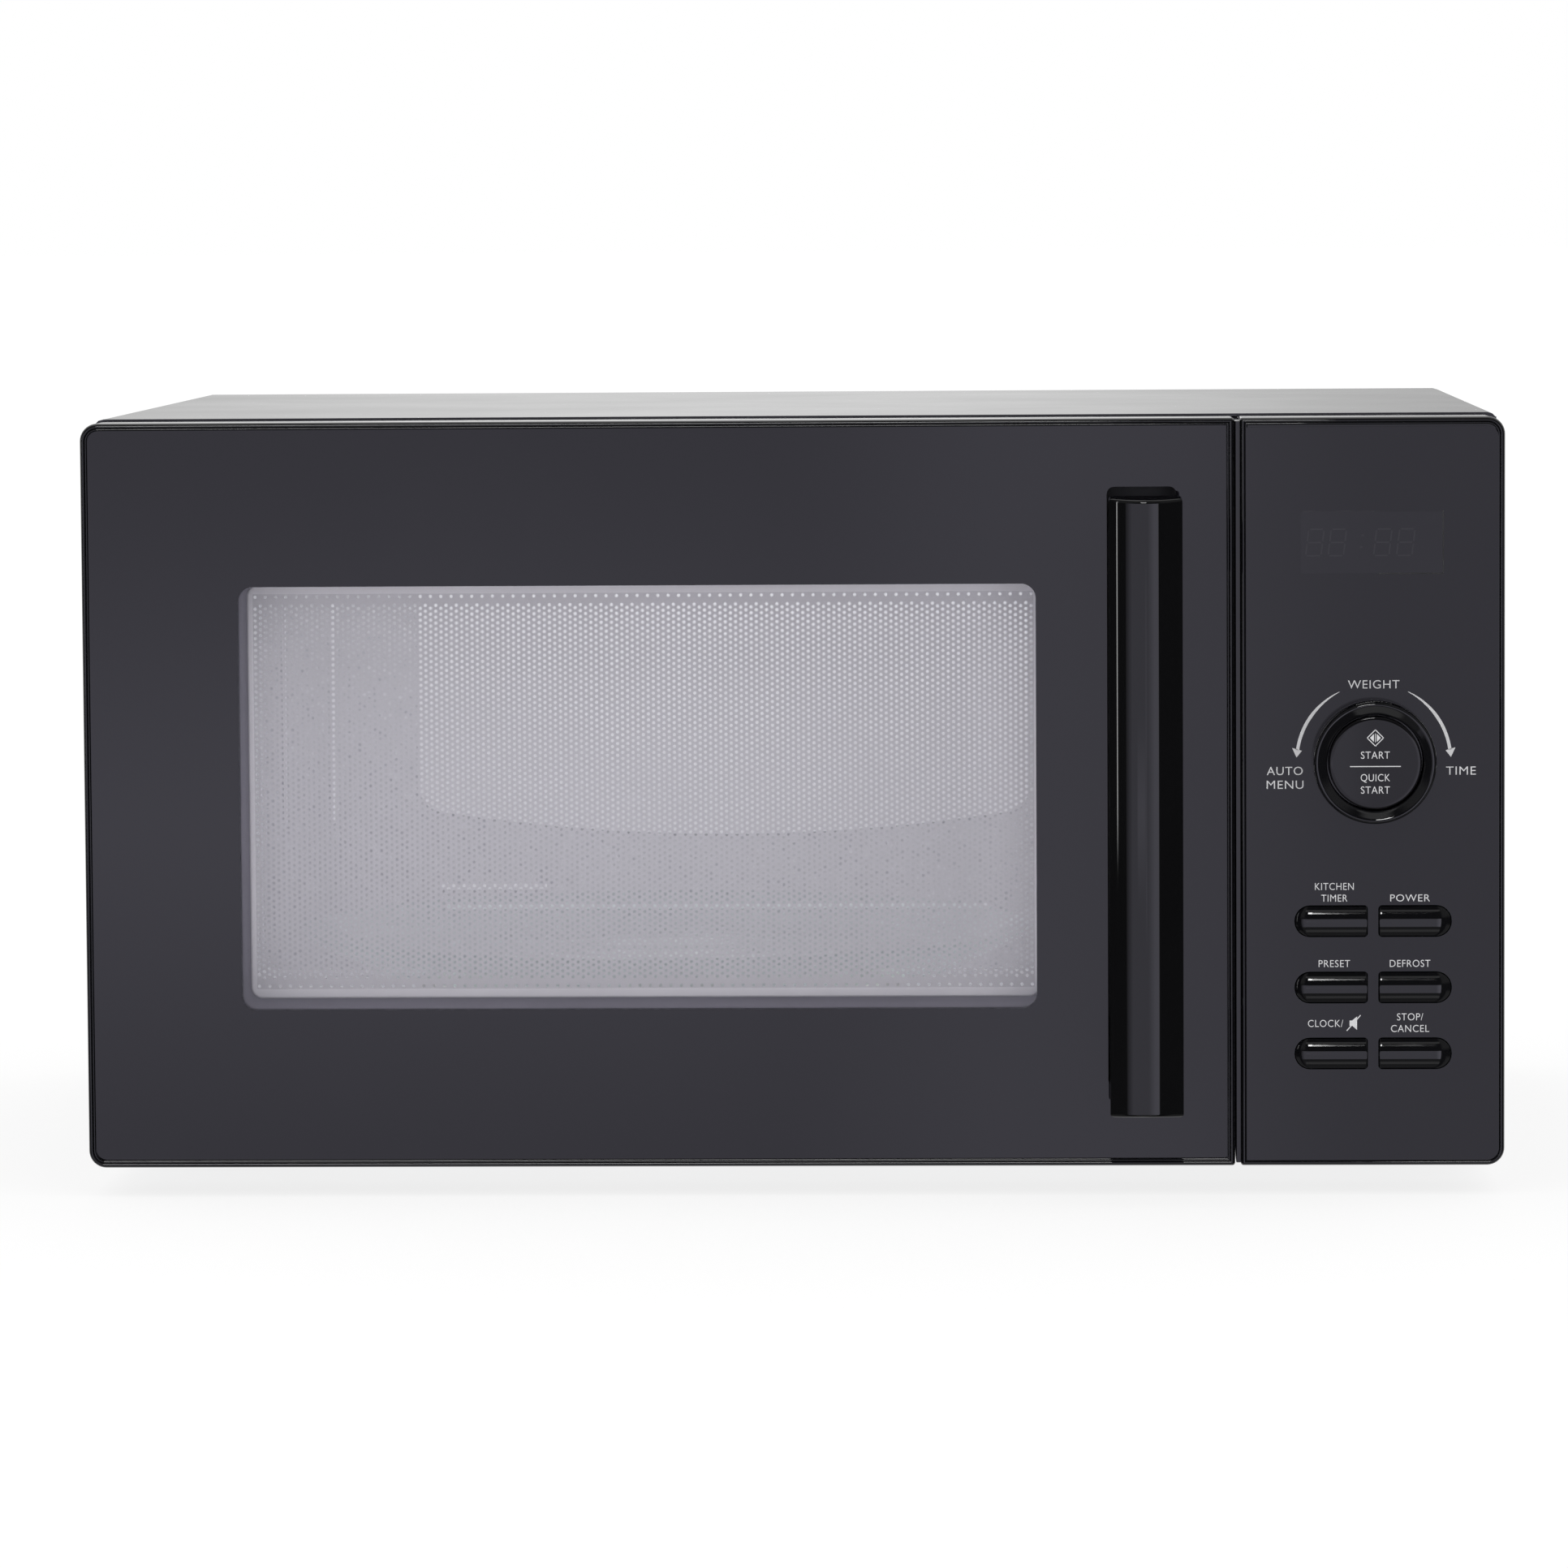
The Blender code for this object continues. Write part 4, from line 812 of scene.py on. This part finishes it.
def door_screen():
    """The perforated sheet, its raised border and its flange."""
    low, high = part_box("door_screen")
    front, back = low.y, high.y
    window_low = (WINDOW_LOW[0] + 0.7 * MM, WINDOW_LOW[1] + 1.6 * MM)
    window_high = (WINDOW_HIGH[0] + 1.3 * MM, WINDOW_HIGH[1] - 0.4 * MM)
    sheet_low = (window_low[0] + SCREEN_MARGIN[0], window_low[1] + SCREEN_MARGIN[1])
    sheet_high = (window_high[0] - SCREEN_MARGIN[0], window_high[1] - SCREEN_MARGIN[1])
    sheet, opening_low, opening_high = screen_sheet(sheet_low, sheet_high, front + 0.15 * MM)
    piece("screen_mesh", sheet, "door", "screen_steel", "screen_mesh", ["door_screen"], degrees=None)

    def window(inset):
        return inset_rectangle(window_low, window_high, [4 * MM] * 4, inset)

    step = back - 0.6 * MM
    opening = rounded_rectangle(opening_low, opening_high, [0.05 * MM] * 4)
    loops = [at_depth(opening, front + 0.3 * MM), at_depth(opening, front)]
    loops += [at_depth(window(inset), front + drop) for inset, drop in rounding(0.8 * MM, 4)]
    points, faces = loft(loops + [at_depth(window(-0.4 * MM), step)])
    without_caps = faces[:-2]
    # The raised border is drawn in a lighter copy of the screen's paint: painted light.
    piece("screen_border", (points, without_caps), "door", "screen_steel")
    inner = window(-0.3 * MM)
    outer = rounded_rectangle((low.x, low.z), (high.x, high.z), [1 * MM] * 4)
    rows = [at_depth(inner, step), at_depth(outer, step), at_depth(outer, back), at_depth(inner, back)]
    # The flange is drawn in a darker copy of the screen's paint: painted shade.
    piece("screen_flange", loft(rows, ring=True), "door", "screen_steel", "screen_edge")


def bezel(name, frame_node, radii, body):
    """The frame's rolled front edge and inner bead, in place of the CAD frame's plain rim."""
    low, high, rim, _ = front_box(frame_node)
    rows = [at_depth(inset_rectangle(low, high, radii, inset * MM, 10), rim - proud * MM)
            for inset, proud in BEZEL_PROFILE]
    piece(name, loft(rows, ring=True), body, "gloss_black", degrees=50.0)


def lower_rim(made):
    """Sets a CAD frame's rim back as shown, to make room for the rolled edge."""
    rim = min(vertex.co.y for vertex in made.data.vertices)
    group = made.vertex_groups.new(name="rim")
    front = [vertex.index for vertex in made.data.vertices if vertex.co.y < rim + 0.05 * MM]
    group.add(front, 1.0, "REPLACE")
    lower = made.modifiers.new("lower_rim", "DISPLACE")
    lower.direction = "Y"
    lower.strength = RIM_DEPTH
    lower.mid_level = 0.0
    lower.vertex_group = "rim"


def handle_section(inset):
    """D-shaped outline (x, y) of the bar, from the back left to its front, which is one arc."""
    low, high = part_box("door_handle")
    left, right = low.x + inset, high.x - inset
    back, front = HANDLE_BACK - inset, low.y + inset
    half, rise = (right - left) / 2, HANDLE_SHOULDER - front
    radius = (half * half + rise * rise) / (2 * rise)
    reach = math.degrees(math.asin(half / radius))
    corner = 1.2 * MM
    outline = arc((left + corner, back - corner), corner, 180, 90, 6)
    outline += arc((right - corner, back - corner), corner, 90, 0, 6)
    return outline + arc(((left + right) / 2, front + radius), radius, reach - 90, -reach - 90, 40)


def handle():
    """The bar with its sloped ends, and two legs into the pocket."""
    low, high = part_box("door_handle")
    bottom_rise, top_drop, edge = 1.4 * MM, 1.3 * MM, 1.1 * MM

    def slice_at(height, slope, inset):
        """The section at a height that changes by slope from the handle's back to its front."""
        depth = HANDLE_BACK - low.y
        return [(x, y, height + slope * (HANDLE_BACK - y) / depth) for x, y in handle_section(inset)]

    bends = rounding(edge, 7)
    rows = [slice_at(low.z + drop, bottom_rise, inset) for inset, drop in bends]
    rows += [slice_at(high.z - drop, -top_drop, inset) for inset, drop in reversed(bends)]
    parts = [loft(rows)]
    for bottom, top in HANDLE_LEGS:
        leg = rounded_rectangle((low.x + 1.2 * MM, bottom), (high.x - 3.0 * MM, top), [2.5 * MM] * 4)
        parts.append(loft([at_depth(leg, HANDLE_BACK - 1.0 * MM), at_depth(leg, high.y)]))
    piece("door_handle_bar", joined(parts), "door", "gloss_black", "handle_black", ["door_handle"], 25.0)


def key_spring():
    """The latch key's spring: a coil of wire in place of the CAD node."""
    low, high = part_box("door_key_spring")
    x, y = (low.x + high.x) / 2, (low.y + high.y) / 2
    wire = 0.5 * MM
    reach = (high.x - low.x) / 2 - wire
    turns, per_turn, sides = 6, 32, 10
    rows = []
    for step in range(turns * per_turn + 1):
        share = step / (turns * per_turn)
        angle = 2 * math.pi * turns * share
        out = Vector((math.cos(angle), math.sin(angle), 0))
        centre = Vector((x, y, low.z + wire + (high.z - low.z - 2 * wire) * share)) + out * reach
        rows.append([centre + out * a + Vector((0, 0, b)) for a, b in circle(wire, sides)])
    made = add_mesh("key_spring_coil", loft(rows), MATERIALS["bright_steel"], 60.0)
    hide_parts("door_key_spring")
    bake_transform(made)


# ---------------- controls

def dial():
    """The dial ring with its rolled crest, and the start button inside it."""
    centre = (middle("dial_ring").x, middle("dial_ring").z)
    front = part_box("dial_ring")[0].y
    profile = [(radius * MM, front + along * MM) for radius, along in DIAL_PROFILE]
    ring = turned(profile, centre, "y", 160, ring=True)
    piece("dial_ring_rolled", ring, "dial_ring", "gloss_black", stands_for=["dial_ring"], degrees=50.0)
    low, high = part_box("start_button")
    face, reach = low.y, (high.x - low.x) / 2
    behind, stem = face + 7.7 * MM, 6.6 * MM
    profile = [(0.5 * MM, face), (reach - 1.6 * MM, face)]
    profile += [(reach - inset, face + drop) for inset, drop in rounding(0.9 * MM)[1:]]
    profile += [(reach, behind), (stem, behind), (stem, high.y - 1.4 * MM)]
    disc = turned(profile, centre, "y", 160)
    piece("start_disc", disc, "start_button", "gloss_black", "disc_black", ["start_button"], 50.0)


def button_outline(low, high, inset, round_left):
    """A straight end, and a round end that shrinks with the inset; the straight end keeps its place."""
    half = (high[1] - low[1]) / 2
    reach, middle_z = half - inset, (low[1] + high[1]) / 2
    corner = min(0.45 * MM, reach * 0.5)
    turn = 1 if round_left else -1
    straight = high[0] if round_left else low[0]
    centre = low[0] + half if round_left else high[0] - half
    beside_round, beside_corner = centre + turn * 0.6 * MM, straight - turn * (corner + 0.4 * MM)
    bottom, top = middle_z - reach, middle_z + reach
    outline = [(centre + turn * x, z) for x, z in arc((0, middle_z), reach, 90, 270, 20)]
    outline += [(beside_round, bottom), (beside_corner, bottom)]
    for start, z in ((270, bottom + corner), (360, top - corner)):
        quarter = arc((-corner, z), corner, start, start + 90, 4)
        outline += [(straight + turn * x, z) for x, z in quarter]
    outline += [(beside_corner, top), (beside_round, top)]
    return outline if round_left else outline[::-1]


def button(name):
    """A push button with one round end, crowned from top to bottom like a drum."""
    low, high, front, back = front_box(name)
    half = (high[1] - low[1]) / 2
    round_left = middle(name).x < middle("dial_ring").x
    steepest = math.radians(42.0)
    radius = half / math.sin(steepest)
    levels = 14
    rows = []
    for level in range(levels + 1):
        tilt = steepest * (0.04 + 0.96 * level / levels)
        inset, drop = half - radius * math.sin(tilt), radius * (1 - math.cos(tilt))
        rows.append(at_depth(button_outline(low, high, inset, round_left), front + drop))
    rows.append(at_depth(button_outline(low, high, 0.0, round_left), back))
    piece(name + "_cap", loft(rows), name, "gloss_black", stands_for=[name], degrees=40.0)


def gap_lip():
    """The lip of the panel's frame that closes the gap behind the door's edge."""
    door, panel = front_box("door_frame"), front_box("panel_frame")
    low = (door[1][0] + 0.4 * MM, door[0][1] + 0.6 * MM)
    high = (panel[0][0] + 0.5 * MM, door[1][1] - 1.2 * MM)
    front, back = panel[2] + 4.6 * MM, front_box("front_plate")[2] - 0.3 * MM
    lip = slab(low, high, 0.3 * MM, front, back, 0.25 * MM, 3)
    piece("gap_lip", lip, "cabinet", "gloss_black")


# ---------------- oven

def cavity_back():
    """A painted pool of light on the oven's back wall: a lighter patch raised from the wall with an arched
    foot, and thin bright strips beside and below it as painted highlights.
    """
    low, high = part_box("oven_cavity")
    wall, proud = high.y - 1.0 * MM, 0.6 * MM
    behind = wall + 0.1 * MM
    left, right, top = low.x + 61 * MM, LIGHT_POOL_RIGHT, high.z - 6 * MM
    radius, steps = 10 * MM, 40
    first, last = left + radius, right - radius
    outline = []
    for step in range(steps + 1):
        x = first + (last - first) * step / steps
        outline.append((x, ARCH_FOOT + ARCH_BEND * (x - ARCH_CENTRE) ** 2))
    for start, centre in ((-90, (last, outline[-1][1] + radius)), (0, (last, top - radius)),
                          (90, (first, top - radius)), (180, (first, outline[0][1] + radius))):
        outline += arc(centre, radius, start, start + 90, 8)
    outline.pop()
    centre_x, centre_z = (left + right) / 2, (ARCH_FOOT + top) / 2
    rows = []
    for inset, drop in rounding(0.5 * MM, 4):
        share_x, share_z = 1 - 2 * inset / (right - left), 1 - 2 * inset / (top - ARCH_FOOT)
        shrunk = [((x - centre_x) * share_x, (z - centre_z) * share_z) for x, z in outline]
        rows.append([(centre_x + x, wall - proud + drop, centre_z + z) for x, z in shrunk])
    parts = [loft(rows + [at_depth(outline, behind)])]
    # Thin bright strips proud of the wall: painted highlights.
    highlight_strips = (((-0.1925, 0.098), (-0.1907, top)), ((-0.2112, 0.098), (-0.2098, top)),
            ((-0.1480, 0.0640), (0.0660, 0.0660)), ((-0.1498, 0.0718), (-0.1080, 0.0742)))
    for strip_low, strip_high in highlight_strips:
        parts.append(slab(strip_low, strip_high, 0.7 * MM, wall - proud, behind, 0.4 * MM, 4))
    piece("cavity_back_painted_light", joined(parts), "cabinet", "enamel", "bright_enamel")


def tray():
    """The glass tray: a ringed floor, a sloping border and a rolled rim."""
    low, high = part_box("glass_tray")
    centre, reach = ((low.x + high.x) / 2, (low.y + high.y) / 2), (high.x - low.x) / 2
    middle_hole = 0.5 * MM
    underside = [(middle_hole, 3.2), (0.100, 3.2), (0.1045, 2.6), (0.1055, 0.0), (0.1085, 0.0), (0.1095, 2.4),
                 (0.119, 4.6)]
    rim = [(2.2, -3.4), (0.8, -2.2), (0.0, -1.2), (0.1, -0.4), (0.7, 0.0), (1.5, -0.1), (3.2, -1.4)]
    topside = [(0.1185, 7.2), (0.1165, 6.3)]
    radius = 0.112
    while radius > 0.030:
        topside += [(radius, 6.2), (radius - 2 * MM, 6.7), (radius - 4 * MM, 6.2)]
        radius -= 16 * MM
    topside.append((middle_hole, 6.0))
    profile = [(place, low.z + height * MM) for place, height in underside]
    profile += [(reach - inset * MM, high.z + height * MM) for inset, height in rim]
    profile += [(place, low.z + height * MM) for place, height in topside]
    piece("tray_glass", turned(profile, centre, "z", 128), "turntable", "clear_glass",
          stands_for=["glass_tray"], degrees=30.0)


# ---------------- fittings

def cross_head_screw(centre, outward, radius, height):
    """Points and faces of a pan head with a cross recess, standing on centre and facing outward."""
    steps = 32
    head = [(1, 0.0), (1, 0.35), (0.93, 0.7), (0.75, 0.93), (0.62, 1)]
    arm, wing = radius * 0.52, radius * 0.13
    plus = [(arm, -wing), (arm, wing), (wing, wing), (wing, arm), (-wing, arm), (-wing, wing), (-arm, wing),
            (-arm, -wing), (-wing, -wing), (-wing, -arm), (wing, -arm), (wing, -wing)]
    shape = bmesh.new()
    loops = [[shape.verts.new((a, b, height * up)) for a, b in circle(radius * out, steps)]
             for out, up in head]
    rim = [shape.verts.new((a, b, height)) for a, b in plus]
    recess = [shape.verts.new((a * 0.7, b * 0.7, height * 0.25)) for a, b in plus]
    for lower, upper in list(zip(loops, loops[1:])) + [(recess, rim)]:
        for index in range(len(lower)):
            after = (index + 1) % len(lower)
            shape.faces.new((lower[index], lower[after], upper[after], upper[index]))
    shape.faces.new(list(reversed(loops[0])))
    shape.faces.new(recess)
    edges = []
    for loop in (loops[-1], rim):
        for pair in zip(loop, loop[1:] + loop[:1]):
            edges.append(shape.edges.get(pair) or shape.edges.new(pair))
    bmesh.ops.triangle_fill(shape, use_beauty=True, edges=edges)
    turn = Vector(outward).to_track_quat("Z", "Y").to_matrix().to_4x4()
    bmesh.ops.transform(shape, matrix=Matrix.Translation(Vector(centre)) @ turn, verts=shape.verts)
    shape.verts.index_update()
    points = [tuple(vertex.co) for vertex in shape.verts]
    faces = [tuple(vertex.index for vertex in face.verts) for face in shape.faces]
    shape.free()
    return points, faces


def screws(name, places, outward, radius, height, slot, look):
    heads = joined([cross_head_screw(place, outward, radius, height) for place in places])
    piece(name, heads, "cabinet", slot, look, degrees=35.0)


def case_screws():
    """Screws round the back panel and low on the cover's sides."""
    low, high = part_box("back_panel")
    sides = (low.x + 9 * MM, high.x - 9 * MM)
    across = (sides[0], -0.105, 0.045, sides[1])
    places = [(x, high.y, z) for z in (high.z - 7 * MM, low.z + 8 * MM) for x in across]
    places += [(x, high.y, 0.125) for x in sides]
    screws("back_screws", places, (0, 1, 0), 3.6 * MM, 1.7 * MM, "bright_steel", "screw")
    low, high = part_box("outer_cover")
    for name, x, outward in (("left_screws", low.x, -1), ("right_screws", high.x, 1)):
        places = [(x - outward * 0.3 * MM, y, low.z + 9 * MM) for y in (high.y - 14 * MM, low.y + 30 * MM)]
        screws(name, places, (outward, 0, 0), 3.4 * MM, 0.75 * MM, "case", "black_screw")


def back_ribs():
    """Two upright pressed ribs on the back panel."""
    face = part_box("back_panel")[1].y
    half, proud = 2.5 * MM, 1.1 * MM
    shapes = []
    for x in (-0.060, 0.105):
        low, high = (x - half, 0.060), (x + half, 0.215)
        shapes.append(loft([at_depth(inset_rectangle(low, high, [half] * 4, inset), face + proud - drop)
                            for inset, drop in rounding(proud, 5)]))
    piece("back_ribs", joined(shapes), "cabinet", "galvanised", degrees=40.0)


def foot(name):
    """A rubber foot with a stepped side and a hollow sole."""
    low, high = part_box(name)
    reach, tall = (high.x - low.x) / 2, high.z - low.z
    profile = [(0.3, 0.10), (0.55, 0.10), (0.62, 0.0), (0.84, 0.0), (0.90, 0.05), (0.92, 0.12), (0.93, 0.30),
               (0.97, 0.34), (0.97, 0.40), (0.93, 0.44), (0.96, 0.72), (1.0, 0.78), (1.0, 1.0)]
    shape = turned([(reach * r, low.z + tall * h) for r, h in profile], middle(name), "z", 64)
    piece(name + "_turned", shape, "cabinet", "rubber", stands_for=[name])


# ---------------- stage

def camera():
    data = bpy.data.cameras.new("camera")
    data.lens = CAMERA_LENS
    data.sensor_width = 36.0
    data.clip_start, data.clip_end = 0.1, 100.0
    made = add_object("camera", data)
    made.location = CAMERA_PLACE
    aim = (CAMERA_AIM - CAMERA_PLACE).to_track_quat("-Z", "Y").to_matrix().to_4x4()
    made.matrix_world = Matrix.Translation(CAMERA_PLACE) @ aim @ Matrix.Rotation(CAMERA_ROLL, 4, "Z")
    bpy.context.scene.camera = made


def floor():
    """A pale floor that turns as bright as the backdrop away from the object."""
    material, tree, shader = new_material("pale_floor")
    parts = parts_of(tree, place_of(tree))
    flat = node(tree, "CombineXYZ", {0: parts[0], 1: parts[1]}).outputs[0]
    distance = node(tree, "VectorMath", {0: flat}, operation="LENGTH").outputs["Value"]
    tree.nodes.remove(shader)
    matte = node(tree, "BsdfDiffuse", {"Color": (0.96, 0.96, 0.96, 1)}).outputs[0]
    glow = node(tree, "Emission", {"Color": WHITE, "Strength": 1.03}).outputs[0]
    share = span(tree, distance, 0.28, 0.9, 0.80, 1.0, "SMOOTHSTEP")
    set_surface(tree, mix_shaders(tree, share, matte, glow))
    reach = 60.0
    corners = [(x * reach, y * reach, 0.0) for x, y in ((-1, -1), (1, -1), (1, 1), (-1, 1))]
    made = add_mesh("floor", (corners, [(0, 1, 2, 3)]), material)
    made.visible_glossy = False


def studio():
    """A white tent for plain light; gloss mirrors a soft window in front, pale behind and dark between."""
    world = bpy.data.worlds.new("studio")
    bpy.context.scene.world = world
    world.use_nodes = True
    world.cycles.sampling_method = "NONE"
    tree = world.node_tree
    degrees = 180 / math.pi
    across, away, up = parts_of(tree, node(tree, "TexCoord").outputs["Generated"])
    turn = times(tree, math_node(tree, "ARCTAN2", across, times(tree, away, -1.0)), degrees)
    rise = times(tree, math_node(tree, "ARCSINE", up), degrees)

    def area(left, right, low, high, soft):
        return times(tree, band(tree, turn, left, right, soft), band(tree, rise, low, high, soft))

    window = area(*MIRRORED_WINDOW)
    brightness = math_node(tree, "ADD", span(tree, turn, -46, -32, 0.27, 0.92),
                           span(tree, turn, 5, 20, 0.0, 0.60))
    total = math_node(tree, "MULTIPLY_ADD", window, brightness, MIRRORED_DARK)
    for *sides, strength in MIRRORED_AREAS:
        total = math_node(tree, "MULTIPLY_ADD", area(*sides), strength, total)
    around = math_node(tree, "ABSOLUTE", turn)
    behind = times(tree, span(tree, around, 95, 140, 0.0, 1.0, "SMOOTHSTEP"), band(tree, rise, -90, 78, 8))
    level = math_node(tree, "MINIMUM", span(tree, across, -0.17, -0.05, 0.62, 0.87, "SMOOTHSTEP"),
                      span(tree, across, -0.02, 0.07, 0.87, 0.57, "SMOOTHSTEP"))
    total = math_node(tree, "MULTIPLY_ADD", behind, level, total)
    mirrored = node(tree, "LightPath").outputs["Is Glossy Ray"]
    strength = node(tree, "Mix", {0: mirrored, 2: 1.0, 3: total}).outputs[0]
    tint = mix_colors(tree, times(tree, window, mirrored), WHITE, WINDOW_TINT)
    background = tree.nodes["Background"]
    tree.links.new(tint, background.inputs["Color"])
    tree.links.new(strength, background.inputs["Strength"])


def oven_light():
    """Light under the cavity's roof, so that the holes of the screen read bright."""
    data = bpy.data.lights.new("oven_light", "AREA")
    data.shape = "RECTANGLE"
    data.size, data.size_y, data.energy = 0.30, 0.28, 0.50
    made = add_object("oven_light", data)
    centre = middle("oven_cavity")
    made.location = (centre.x, centre.y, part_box("oven_cavity")[1].z - 4 * MM)
    made.visible_camera = False
    made.visible_glossy = False


# ---------------- main

def dress_nodes(frame):
    """Gives each CAD node the material of its slot in the record."""
    own = {"transformer_core": "core"}
    slots = {row["node"]: row["material_slot"] for row in frame["record"]["subparts"]}
    for name, made in frame["nodes"].items():
        made.data.materials.clear()
        made.data.materials.append(MATERIALS[own.get(name, slots[name])])
        round_off(made)


def round_off(made):
    """Smooth shading across a CAD node's curved faces, with its sharp edges kept."""
    for face in made.data.polygons:
        face.use_smooth = True
    weld = made.modifiers.new("weld", "WELD")
    weld.merge_threshold = 0.005 * MM
    split = made.modifiers.new("sharp", "EDGE_SPLIT")
    split.split_angle = math.radians(32.0)
    made.modifiers.new("weigh", "WEIGHTED_NORMAL")


def main():
    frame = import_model()
    MATERIALS.update(make_materials())
    for name in ("door_frame", "panel_frame"):
        lower_rim(frame["nodes"][name])
    dress_nodes(frame)
    camera()
    floor()
    studio()
    oven_light()
    door_screen()
    outer, inner = FRAME_CORNER, FRAME_INNER_CORNER
    bezel("door_bezel", "door_frame", [outer, inner, inner, outer], "door")
    bezel("panel_bezel", "panel_frame", [inner, outer, outer, inner], "cabinet")
    gap_lip()
    cavity_back()
    tray()
    handle()
    key_spring()
    dial()
    for name in list(BUTTON_CAPTIONS) + ["clock_button"]:
        button(name)
    panel_lettering()
    start_lettering()
    display()
    case_screws()
    back_ribs()
    for name in ("foot_front_left", "foot_front_right", "foot_rear_left", "foot_rear_right"):
        foot(name)
    bpy.context.scene.view_settings.view_transform = "Standard"


main()
